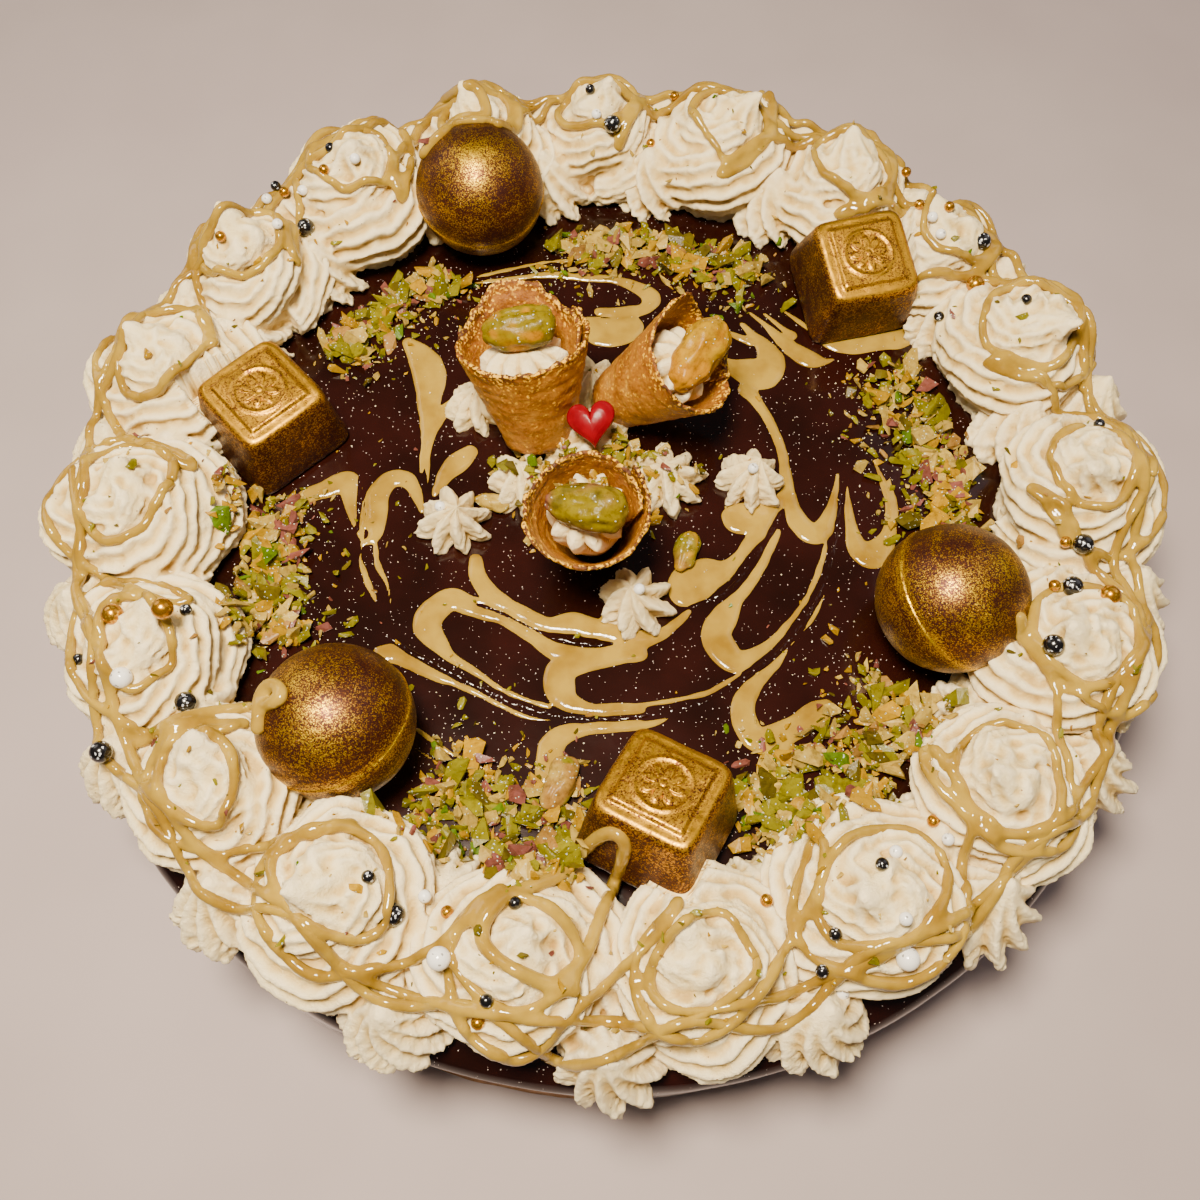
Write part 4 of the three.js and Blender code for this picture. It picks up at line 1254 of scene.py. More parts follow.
# --- chocolates
@dataclass(frozen=True)
class GoldDust(Finish):
    """Dark chocolate dusted with edible gold by brush: sparkle on brown, brighter where it is thick."""

    name: str = "gold_dusted_chocolate"
    streak: float = 0.14  # how much longer a brush mark is than it is wide, as a share
    cover: float = 0.03  # added to the dust's cover everywhere
    blotch: float = 0.6  # how strongly brush marks and clouds change the cover
    flake: float = 0.2  # width of one flake of gold in millimetres
    bright: str = "#dcb400"

    def wire(self, add: Callable[..., Node], place: Socket) -> Node:
        """Brush marks of 1.1 mm, clouds of 7 mm, single flakes and each point's cover decide where gold
        shows; on the balls that cover holds a painted highlight too.

        Args:
            add: adds a node to the material's tree.
            place: the Object coordinates.

        Returns:
            The surface's node.
        """
        mould = add("ShaderNodeAttribute", attribute_name="mould").outputs["Vector"]
        # each point's gold cover: real dust, and on the balls also a painted highlight on the side toward the
        # key light
        dust = add("ShaderNodeAttribute", attribute_name="dust").outputs["Fac"]
        drawn = add("ShaderNodeVectorMath", {0: mould}, {1: (self.streak, self.streak, 1.0)},
                    operation="MULTIPLY")
        brush = add("ShaderNodeTexNoise", {"Vector": drawn},
                    {"Scale": 0.9, "Detail": 4.0, "Roughness": 0.6})
        cloud = add("ShaderNodeTexNoise", {"Vector": place},
                    {"Scale": per_mm(7), "Detail": 4.0, "Roughness": 0.6})
        flakes = add("ShaderNodeTexVoronoi", {"Vector": place}, {"Scale": per_mm(self.flake)})
        flake = add("ShaderNodeSeparateColor", {0: flakes.outputs["Color"]})
        marks = add("ShaderNodeMath", {0: brush, 1: cloud}, operation="ADD")
        cover = add("ShaderNodeMath", {0: marks, 2: dust}, {1: self.blotch}, operation="MULTIPLY_ADD")
        grains = add("ShaderNodeMath", {0: flake, 2: cover}, {1: 0.75}, operation="MULTIPLY_ADD")
        gold = add("ShaderNodeMapRange", {"Value": grains}, {"From Min": 0.3 + self.blotch - self.cover,
                    "From Max": 0.95 + self.blotch - self.cover})
        tone = add("ShaderNodeValToRGB", {"Fac": gold},
                   stops=[(0.0, "#34110a"), (0.4, "#5c2f10"), (0.66, "#a3761a"), (1.0, self.bright)])
        shine = add("ShaderNodeMapRange", {"Value": gold}, {"To Min": 0.6, "To Max": 1.0})
        matt = add("ShaderNodeMapRange", {"Value": flake.outputs[1]}, {"To Min": 0.32, "To Max": 0.5})
        relief = add("ShaderNodeMath", {0: flake.outputs[2], 2: brush},
                     {1: 0.5}, operation="MULTIPLY_ADD")
        bump = add("ShaderNodeBump", {"Height": relief}, {"Strength": 0.45, "Distance": 0.12 * MM})
        return add("ShaderNodeBsdfPrincipled", {"Base Color": tone, "Metallic": shine,
                    "Roughness": matt, "Normal": bump})


@dataclass
class GoldBall:
    """A moulded ball of two half shells, with the seam between them. Sizes in millimetres."""

    number: int
    middle: tuple[float, float, float]
    tilt: tuple[float, float, float]
    radius: float = 15.6
    rows: int = 84
    columns: int = 116

    def build(self) -> Piece:
        """Builds the ball with its raised seam, slightly uneven shells and gold cover, with more gold painted
        as a highlight where the key light falls.

        Returns:
            The piece.
        """
        latitude = np.linspace(-90, 90, self.rows)
        latitude = 90 * np.sign(latitude) * np.abs(latitude / 90) ** 1.3
        angle = np.arange(self.columns) * TURN / self.columns
        seam = 0.22 * np.exp(-((latitude + 1.1) / 0.9) ** 2) - 0.14 * np.exp(-((latitude - 0.7) / 0.6) ** 2)
        reach = self.radius - 0.15 + seam
        level = np.radians(latitude)
        rings = np.array([[(r * math.cos(b) * math.cos(a), r * math.cos(b) * math.sin(a), r * math.sin(b))
                           for a in angle] for r, b in zip(reach[1:-1], level[1:-1])])
        shape = loft(rings)
        local = shape.points.copy()
        push = layered(local, (0.12, 8.0, 50 + self.number), (0.05, 2.0, 51))
        shape.points *= (1 + push / self.radius)[:, None]
        spread = np.degrees(np.arcsin(np.clip(local[:, 2] / self.radius, -1, 1)))
        dust = 0.42 * np.exp(-((spread + 1.0) / 5.0) ** 2) + 0.2 * ramp_up(5, -40, spread)
        dust += 0.2 * ramp_up(55, 88, spread)
        shape = shape.stood(self.middle, self.tilt)
        # painted highlight: extra gold on the side that faces the key light and the camera, where the
        # highlight falls
        above = (shape.points - self.middle) @ (np.array([0.0, -0.37, 0.93]) / self.radius)
        dust += 0.24 * np.exp(-(np.degrees(np.arccos(np.clip(above, -1, 1))) / 26) ** 2)
        return put(f"Gold_dusted_ball_{self.number}", shape, GOLD_BALL, "gold_dust",
                   [f"gold_ball_{self.number}"], dust=dust,
                   mould=np.column_stack([local, np.ones(len(local))]))


@dataclass
class GoldBlock:
    """A moulded block: narrower at the top, soft corners, a low ornament on its medallion."""

    number: int
    x: float
    y: float
    turn: float
    lean: tuple[float, float, float]
    foot: float = 26.0
    top: float = 20.0
    height: float = 18.0
    count: int = 192

    def press(self, shape: Shape) -> None:
        """Presses cream down where the block stands in it.

        Args:
            shape: the cream, which is changed.
        """
        turned = math.radians(self.turn)
        x, y = shape.points[:, 0] - self.x, shape.points[:, 1] - self.y
        along = np.abs(x * math.cos(turned) + y * math.sin(turned))
        across = np.abs(y * math.cos(turned) - x * math.sin(turned))
        under = np.maximum(along, across) < 0.5 * self.foot - 1.0
        ceiling = GLAZE_TOP + 0.7 * self.height
        shape.points[under, 2] = np.minimum(shape.points[under, 2], ceiling)

    def outline(self, side: float, corner: float, z: float) -> Array:
        """A square ring of points with round corners at a height.

        Args:
            side: its width.
            corner: the size of its corners.
            z: its height.

        Returns:
            The points.
        """
        angle = (np.arange(self.count) + 0.5) * TURN / self.count
        half = 0.5 * side
        power = 2 + 1.5 * half / corner
        direction = np.column_stack([np.cos(angle), np.sin(angle)])
        reach = half / (np.abs(direction) ** power).sum(axis=1) ** (1 / power)
        return np.column_stack([direction * reach[:, None], np.full(self.count, z)])

    def ornament(self, x: Array, y: Array) -> Array:
        """Relief of the top: a ring, eight petals round a bead, and a line inside the edge.

        Args:
            x: places on the top, from its middle.
            y: the same.

        Returns:
            How far each place is raised.
        """
        radius, angle = np.hypot(x, y), np.arctan2(y, x)
        ring = 0.32 * np.exp(-((radius - 5.6) / 0.45) ** 2)
        petal = 4.1 * (0.42 + 0.58 * np.abs(np.cos(4 * angle)) ** 0.8)
        petals = 0.38 * ramp_up(0.5, -0.4, radius - petal) * ramp_up(0.7, 1.2, radius)
        bead = 0.4 * ramp_up(1.2, 0.4, radius)
        side = np.maximum(np.abs(x), np.abs(y))
        line = 0.22 * np.exp(-((side - 7.7) / 0.32) ** 2)
        return ring + petals + bead - line

    def build(self) -> Piece:
        """Builds the block, leant as its neighbours prop it.

        Returns:
            The piece.
        """
        h = self.height
        lower = [(self.foot - 1.6, 2.6, 0.0), (self.foot - 0.5, 3.0, 0.25), (self.foot, 3.2, 1.2)]
        sides = [(self.foot + (self.top + 1.6 - self.foot) * s, 3.0, 1.2 + (h - 3.1) * s)
                 for s in np.linspace(0, 1, 26)[1:]]
        bevel = [(self.top + 1.2, 2.9, h - 1.1), (self.top + 0.5, 2.8, h - 0.5),
                 (self.top - 0.4, 2.7, h - 0.12)]
        tops = [(max(side, 0.3), max(2.6 * side / self.top, 0.25), h + 0.02)
                for side in np.linspace(self.top - 1.4, 0.3, 44)]
        rings = np.array([self.outline(*row) for row in lower + sides + bevel + tops])
        shape = loft(rings)
        local = shape.points.copy()
        above = ramp_up(h - 0.35, h, local[:, 2])
        inside = np.maximum(np.abs(local[:, 0]), np.abs(local[:, 1]))
        shape.points[:, 2] += above * self.ornament(local[:, 0], local[:, 1])
        shape.points[:, 2] += 0.7 * above * ramp_up(8.4, 7.0, inside)
        shape = shape.pushed(layered(local, (0.16, 6.0, 60 + self.number), (0.07, 1.6, 61)))
        edge = np.exp(-((inside - 9.4) / 0.9) ** 2) * ramp_up(h - 3.0, h - 0.5, local[:, 2])
        dust = 0.34 * above + 0.3 * edge - 0.16 * ramp_up(h - 1, 2.0, local[:, 2])
        leaning = stand_points(shape.points, (0, 0, 0), self.lean, self.turn)
        place = (self.x, self.y, GLAZE_TOP + 0.2 - leaning[:, 2].min())
        return put(f"Gold_dusted_block_{self.number}", shape.stood(place, self.lean, self.turn),
                   GOLD_BLOCK, "gold_dust", [f"gold_block_{self.number}"], dust=dust,
                   mould=np.column_stack([local[:, [2, 1, 0]], np.ones(len(local))]))


# --- rolled wafers and kernels
@dataclass(frozen=True)
class Wafer(Finish):
    """Thin sugar wafer, baked and rolled hot: glassy orange-brown, grainy, darker at its torn rim."""

    name: str = "rolled_wafer"

    def wire(self, add: Callable[..., Node], place: Socket) -> Node:
        """Browning of 7 mm, sugar grain of 0.75 mm with bright grains of 0.5 mm at the rim.

        Args:
            add: adds a node to the material's tree.
            place: the Object coordinates.

        Returns:
            The surface's node.
        """
        rim = add("ShaderNodeAttribute", attribute_name="rim").outputs["Fac"]
        browning = add("ShaderNodeTexNoise", {"Vector": place},
                       {"Scale": per_mm(7), "Detail": 5.0, "Roughness": 0.65})
        grain = add("ShaderNodeTexNoise", {"Vector": place},
                    {"Scale": per_mm(0.75), "Detail": 4.0, "Roughness": 0.75})
        mixed = add("ShaderNodeMix", {2: browning, 3: grain}, {0: 0.4}, data_type="FLOAT")
        shift = add("ShaderNodeMath", {0: rim, 2: mixed}, {1: -0.2}, operation="MULTIPLY_ADD")
        tone = add("ShaderNodeValToRGB", {"Fac": shift},
                   stops=[(0.26, "#4a2306"), (0.42, "#8d520e"), (0.54, "#ad7018"), (0.7, "#c79840")])
        sugar = add("ShaderNodeTexVoronoi", {"Vector": place}, {"Scale": per_mm(0.5)})
        crystal = add("ShaderNodeSeparateColor", {0: sugar.outputs["Color"]})
        bright = add("ShaderNodeMath", {0: rim, 2: crystal}, {1: 0.3}, operation="MULTIPLY_ADD")
        spark = add("ShaderNodeMapRange", {"Value": bright}, {"From Min": 0.9, "From Max": 1.0})
        gold = add("ShaderNodeMix", {0: spark, 6: tone}, {7: linear("#f0b418")}, data_type="RGBA")
        height = add("ShaderNodeMath", {0: crystal.outputs[1], 2: grain}, {1: 0.35},
                     operation="MULTIPLY_ADD")
        bump = add("ShaderNodeBump", {"Height": height}, {"Strength": 0.8, "Distance": 0.5 * MM})
        return add("ShaderNodeBsdfPrincipled", {"Base Color": gold.outputs[2], "Normal": bump},
                   {"Roughness": 0.36, "Specular IOR Level": 0.4, "IOR": 1.5, "Subsurface Weight": 0.05,
                    "Subsurface Radius": (1.0, 0.5, 0.2), "Subsurface Scale": 1.0 * MM})


@dataclass(frozen=True)
class NutFlesh(Finish):
    """Shelled pistachio, chopped or whole: waxy, in greens and yellows, with mauve skin left on some."""

    name: str = "pistachio_flesh"
    dusting: float = 0.02  # share of the surface under glitter

    def wire(self, add: Callable[..., Node], place: Socket) -> Node:
        """The piece's own tint, mottled at 1.6 mm, with a fine glitter of 0.26 mm flakes.

        Args:
            add: adds a node to the material's tree.
            place: the Object coordinates.

        Returns:
            The surface's node.
        """
        tint = add("ShaderNodeAttribute", attribute_name="tint").outputs["Color"]
        mottle = add("ShaderNodeTexNoise", {"Vector": place},
                     {"Scale": per_mm(1.6), "Detail": 4.0, "Roughness": 0.65})
        shade = add("ShaderNodeValToRGB", {"Fac": mottle},
                    stops=[(0.3, "#a89c78"), (0.48, "#ebe4cc"), (0.62, "#ffffff")])
        tone = add("ShaderNodeMix", {6: tint, 7: shade}, {0: 0.8},
                   data_type="RGBA", blend_type="MULTIPLY")
        flakes = add("ShaderNodeTexVoronoi", {"Vector": place}, {"Scale": per_mm(0.26)})
        flake = add("ShaderNodeSeparateColor", {0: flakes.outputs["Color"]})
        kept = add("ShaderNodeMath", {0: flake}, {1: 1 - self.dusting}, operation="GREATER_THAN")
        dusted = add("ShaderNodeMix", {0: kept, 6: tone.outputs[2]},
                     {7: linear("#b9c4b0")}, data_type="RGBA")
        bump = add("ShaderNodeBump", {"Height": mottle}, {"Strength": 0.5, "Distance": 0.4 * MM})
        return add("ShaderNodeBsdfPrincipled", {"Base Color": dusted.outputs[2], "Normal": bump},
                   {"Roughness": 0.26, "IOR": 1.5, "Specular IOR Level": 0.13})


@dataclass(frozen=True)
class HardSugar(Finish):
    """Pressed and polished sugar: the red heart. Bright gloss over an even colour."""

    name: str = "polished_red_sugar"
    colour: str = "#7e0011"

    def wire(self, add: Callable[..., Node], place: Socket) -> Node:
        """A faint cloud of 3 mm in the colour, gloss from the polish.

        Args:
            add: adds a node to the material's tree.
            place: the Object coordinates.

        Returns:
            The surface's node.
        """
        cloud = add("ShaderNodeTexNoise", {"Vector": place}, {"Scale": per_mm(3)})
        tone = add("ShaderNodeValToRGB", {"Fac": cloud}, stops=[(0.3, "#6a000d"), (0.7, self.colour)])
        bump = add("ShaderNodeBump", {"Height": cloud}, {"Strength": 0.15, "Distance": 0.3 * MM})
        return add("ShaderNodeBsdfPrincipled", {"Base Color": tone, "Normal": bump},
                   {"Roughness": 0.24, "Specular IOR Level": 0.12})


GOLD_BALL = GoldDust()
GOLD_BLOCK = GoldDust("gold_brushed_chocolate", streak=0.3, cover=0.12, blotch=0.6, flake=0.26,
                      bright="#c4921c")
WAFER = Wafer()
NUT = NutFlesh()
KERNEL = NutFlesh("pistachio_kernel", dusting=0.008)
HEART = HardSugar()


class Tint(Enum):
    """The colours that chopped pistachio shows, by what of the kernel they are."""

    PALE = "#a88f42"
    YELLOW = "#a07a02"
    GREEN = "#726c08"
    BRIGHT = "#4d660a"
    OLIVE = "#574c0e"
    MAUVE = "#74433c"
    TAN = "#8f6a32"
    FRESH = "#716300"
    RIPE = "#a87300"


def kernel(length: float, width: float, thickness: float, seed: int, cut: float = 1.0) -> Shape:
    """A pistachio kernel that lies along X: fuller at one end, grooved, wrinkled.

    Args:
        length: along X, in millimetres.
        width: along Y.
        thickness: along Z.
        seed: picks its wrinkles.
        cut: how much of its lower half is there, 0 for a half kernel on its flat side.

    Returns:
        The closed mesh round the origin.
    """
    columns, rows = 64, 48
    along = -np.cos(np.linspace(0.02, math.pi - 0.02, rows))
    fullness = np.sqrt(np.maximum(1 - np.abs(along) ** 2.6, 0)) * (1 + 0.14 * along)
    angle = np.arange(columns) * TURN / columns
    rings = []
    for x, full in zip(along, fullness):
        y, z = np.cos(angle) * full * width / 2, np.sin(angle) * full * thickness / 2
        groove = 0.1 * np.exp(-((angle - 0.5 * math.pi) / 0.16) ** 2)
        z = z * (1 - groove)
        z = np.where(z < 0, z * cut, z)
        rings.append(np.column_stack([np.full(columns, x * length / 2), y, z]))
    shape = loft(np.array(rings))
    stretch = shape.points * [0.4, 1, 1]
    wrinkles = 0.42 * lattice_noise(stretch, 1.3, seed) + 0.5 * lattice_noise(shape.points, 3.4, seed + 1)
    return shape.pushed(wrinkles + 0.1 * lattice_noise(shape.points, 0.8, seed + 2))


def blended(points: Array, first: Tint, second: Tint, third: Tint, seed: int) -> Array:
    """Colours that pass between three tints in patches, one for each point.

    Args:
        points: rows of x, y, z in millimetres.
        first: the tint of half the patches.
        second: the tint of the other half.
        third: the tint of small spots.
        seed: picks the pattern.

    Returns:
        A row of linear red, green, blue and alpha for each point.
    """
    one, two, three = (np.array(linear(tint.value)) for tint in (first, second, third))
    share = ramp_up(-0.35, 0.35, lattice_noise(points, 5.0, seed))[:, None]
    other = ramp_up(0.1, 0.6, lattice_noise(points, 2.6, seed + 1))[:, None]
    return (one * (1 - share) + two * share) * (1 - other) + three * other


@dataclass
class RolledWafer:
    """A wafer rolled into a cone, its cream and the kernel on it. Sizes in millimetres."""

    key: str
    x: float
    y: float
    axis: tuple[float, float, float]
    flap: float
    kernel_turn: float
    kernel_lean: tuple[float, float, float]
    kernel_lift: float
    kernel_length: float
    tints: tuple[Tint, Tint, Tint]
    seed: int
    low: float = 0.0  # how far below the mouth the cream stays
    slim: float = 1.0  # narrows the roll, as a share
    crumbed: bool = False  # whether nut crumbs lie on its cream
    length: float = 26.0
    mouth: float = 12.2
    foot: float = 5.6
    wall: float = 1.2
    pitch: float = 1.8
    turns: float = 1.12

    def leant(self, shape: Shape, slim: float) -> Shape:
        """Narrows a form made round Z and puts it where the wafer leans, its foot just on the glaze.

        Args:
            shape: the form.
            slim: how far it is narrowed, as a share.

        Returns:
            The form in the cake's frame.
        """
        axis = np.array(self.axis) / np.linalg.norm(self.axis)
        rim = self.slim * (self.foot + self.pitch * self.turns + self.wall)
        rise = rim * math.sqrt(max(0.0, 1 - axis[2] ** 2))
        narrowed = Shape(shape.points * [slim, slim, 1], shape.faces)
        return narrowed.stood((self.x, self.y, GLAZE_TOP + 0.3 + rise), axis)

    def inner(self, z: Array) -> Array:
        """The roll's inner radius at a height."""
        return self.foot + (self.mouth - self.foot) * z / self.length

    def build(self, ground: Ground) -> None:
        """Builds the roll, its filling and its kernel.

        Args:
            ground: the surfaces made so far, which gets these too.
        """
        stations, levels = 184, 48
        turned = np.linspace(0, self.turns * 360, stations)
        widen = self.pitch * turned / 360
        apart = ((turned - self.flap + 180) % 360 - 180) / 38.0
        edge = np.column_stack([turned * 0.18, np.full(stations, float(self.seed)), np.zeros(stations)])
        torn = layered(edge, (0.7, 3.1, self.seed), (0.45, 1.2, self.seed + 1), (0.3, 0.5, self.seed + 5))
        top = self.length + 5.5 * np.exp(-apart ** 2) + torn
        share = np.linspace(0, 1, levels) ** 0.8
        rings, rims = [], []
        for degrees, grow, height in zip(turned, widen, top):
            z = share * height
            out = self.inner(z) + grow + self.wall - 0.1
            back = (self.inner(z) + grow + 0.12)[::-1]
            middle = 0.5 * (out[-1] + back[0])
            radius = np.concatenate([out, [middle + 0.22, middle - 0.22], back])
            level = np.concatenate([z, [height + 0.3, height + 0.3], z[::-1]])
            angle = math.radians(degrees)
            rings.append(np.column_stack([radius * math.cos(angle), radius * math.sin(angle), level]))
            rims.append(np.exp(-np.maximum(height - level, 0) / 1.7))
        shape = loft(np.array(rings)).outward()
        rim = np.concatenate([np.array(rims).ravel(), [0.3, 0.3]])
        local = shape.points
        push = 0.22 * lattice_noise(local, 0.95, self.seed + 2) * (0.5 + rim)
        push += 0.22 * lattice_noise(local * [1, 1, 2.2], 3.6, self.seed + 3)
        push += 0.1 * lattice_noise(local * [0.3, 0.3, 2.5], 1.6, self.seed + 4)
        shape = self.leant(shape.pushed(push), self.slim)
        roll = put(f"Rolled_wafer_{self.key}", shape, WAFER, "wafer", [f"wafer_cone_{self.key}"], rim=rim)
        ground.add(roll, False)
        ground.add(self.filling(), self.crumbed)
        flesh = kernel(self.kernel_length, 9.8, 8.8, self.seed + 6)
        flesh = flesh.stood((0, 0, self.length + 1.8 + self.kernel_lift), self.kernel_lean, self.kernel_turn)
        flesh = self.leant(flesh, 1.0)
        ground.add(put(f"Pistachio_whole_{self.key}", flesh, KERNEL, "pistachio",
                       [f"pistachio_kernel_{self.key}"],
                       tint=blended(flesh.points, *self.tints, self.seed + 7)), False)

    def filling(self) -> Piece:
        """The cream inside, swelling into a ridged crown under the kernel.

        Returns:
            The piece.
        """
        full = self.length - self.low
        level, share = profile([(3.0, 1.0), (10.0, 1.0), (full - 4, 1.0), (full - 1.2, 0.92),
                                (full + 0.1, 0.74), (full + 1.0, 0.5), (full + 1.5, 0.22)], 40)
        angle = np.arange(160) * TURN / 160
        rings = []
        for z, s in zip(level, share):
            depth = 0.3 * ramp_up(12, full - 2, z)
            reach = (self.inner(min(z, self.length)) - 0.5) * s * pointed(angle + 0.03 * z, 10, depth)
            rings.append(level_ring(reach, angle, z))
        shape = self.leant(loft(np.array(rings)), self.slim)
        shape = creamed(shape, 500 + self.seed, GLAZE_TOP - 5, 0.15)
        # the filling's tone gets painted shade in its creases
        return put(f"Wafer_cream_{self.key}", shape, CREAM, "whipped_cream", [f"cone_cream_{self.key}"],
                   crease=crease_values(shape, 6.0))


# --- the middle of the cake
@dataclass
class Centre:
    """The sugar heart, the cream mound behind it, the small stars and the single nut pieces."""

    heart_axis: tuple[float, float, float] = (-0.12, -0.5, 0.86)
    heart_width: float = 10.8
    heart_depth: float = 3.0
    stars: tuple[tuple[str, str, float, float, float, float], ...] = (
        ("Piped_star_left", "cream_star_left", -34.8, -2.2, 8.0, 10.0),
        ("Piped_star_right", "cream_star_right", 32.6, 9.2, 7.6, 10.0),
        ("Piped_star_front", "cream_star_front", 6.4, -21.0, 8.0, 10.0),
        ("Piped_centre_left", "centre_star_left", -18.6, 7.4, 8.4, 9.5),
        ("Piped_centre_right", "centre_star_right", 13.4, 9.6, 9.0, 9.5),
        ("Piped_centre_back", "centre_star_back", -4.0, 34.5, 8.0, 9.0),
        ("Piped_centre_side", "centre_star_side", -31.0, 29.0, 7.5, 8.0),
    )
    loose: tuple[tuple[float, float, float, float, Tint, Tint, Tint], ...] = (
        (-26.8, 3.4, -10, 8.5, Tint.PALE, Tint.GREEN, Tint.YELLOW),
        (17.6, -8.5, 72, 10.5, Tint.TAN, Tint.GREEN, Tint.YELLOW),
        (-9.2, -62.0, 62, 12.0, Tint.TAN, Tint.PALE, Tint.GREEN),
        (-11.5, -75.0, 75, 9.0, Tint.TAN, Tint.OLIVE, Tint.YELLOW),
    )

    def build(self, ground: Ground) -> None:
        """Builds the pieces in the middle of the cake.

        Args:
            ground: the surfaces made so far, which gets these too.
        """
        for index, (name, node, x, y, radius, height) in enumerate(self.stars):
            shape = star(radius * 1.1, height + 1.2, 8, 640 + index).stood((x, y, FOOT))
            shape = creamed(shape, 620 + 5 * index, GLAZE_TOP, 0.26)
            # the star's tone gets painted shade in its creases
            ground.add(put(name, shape, CREAM, "whipped_cream", [node], crease=crease_values(shape, 2.4)))
        ground.add(self.mound())
        ground.add(self.heart(), False)
        for index, (x, y, turn, length, *tints) in enumerate(self.loose):
            shape = kernel(length, 0.55 * length, 0.5 * length, 650 + index, cut=0.35)
            lean = (0.1 * (index - 1), 0.08, 1)
            shape = shape.stood((0, 0, 0), lean, turn)
            lift = GLAZE_TOP + 0.15 - shape.points[:, 2].min()
            shape = Shape(shape.points + [x, y, lift], shape.faces)
            ground.add(put(f"Pistachio_piece_{index + 1}", shape, NUT, "pistachio",
                           [f"pistachio_half_{index + 1}"],
                           tint=blended(shape.points, *tints, 660 + index)), False)

    def mound(self) -> Piece:
        """Cream spooned between the wafers: fused soft lumps.

        Returns:
            The piece.
        """
        draw = np.random.default_rng(70)
        shape = None
        for _ in range(15):
            azimuth, reach = draw.uniform(0, 360), 8.0 * math.sqrt(draw.uniform(0, 1))
            size = draw.uniform(3.4, 4.8)
            place = np.array([-3.0, 15.5, 0]) + polar(azimuth, reach)
            place[2] = GLAZE_TOP + draw.uniform(0.35, 0.8) * (12.5 - 0.75 * reach) - 1.0
            lump = star(size * 1.25, size * 2.0, 6, int(draw.integers(1, 9999)))
            lump = lump.stood(place - [0, 0, size * 0.7], (draw.uniform(-.4, .4), draw.uniform(-.4, .4), 1))
            shape = lump if shape is None else shape + lump
        base = star(11.5, 9.0, 9, 71).stood((-3.0, 15.5, FOOT))
        shape = creamed(fused(shape + base, 0.5).relaxed(1), 72, GLAZE_TOP, 0.3)
        # the mound's tone gets painted shade in its creases
        return put("Cream_mound", shape, CREAM, "whipped_cream", ["centre_mound"],
                   crease=crease_values(shape, 7.0))

    def heart(self) -> Piece:
        """The pressed heart: rounded edge and a raised line inside its outline.

        Returns:
            The piece.
        """
        t = (np.arange(128) + 0.5) * TURN / 128
        x = 16 * np.sin(t) ** 3
        y = 13 * np.cos(t) - 5 * np.cos(2 * t) - 2 * np.cos(3 * t) - np.cos(4 * t)
        outline = np.column_stack([x, 1.08 * (y + 2.0)])[::-1] * self.heart_width / 32
        low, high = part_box("sugar_heart")
        rows = [(0.9, -0.5), (0.97, -0.44), (1.0, -0.2), (0.99, 0.08), (0.93, 0.24), (0.86, 0.29),
                (0.8, 0.36), (0.68, 0.47), (0.5, 0.55), (0.3, 0.6), (0.1, 0.62)]
        share, level = profile([(wide, self.heart_depth * z) for wide, z in rows], 60)
        rings = np.array([np.column_stack([outline * s, np.full(128, z)]) for s, z in zip(share, level)])
        shape = loft(rings).relaxed(2, 0.4).stood((0, 0, 0), self.heart_axis, 8)
        middle = 0.5 * (np.array(low) + np.array(high)) / MM
        own = 0.5 * (shape.points.min(axis=0) + shape.points.max(axis=0))
        return put("Red_sugar_heart", Shape(shape.points + middle - own, shape.faces), HEART, "sugar",
                   ["sugar_heart"])


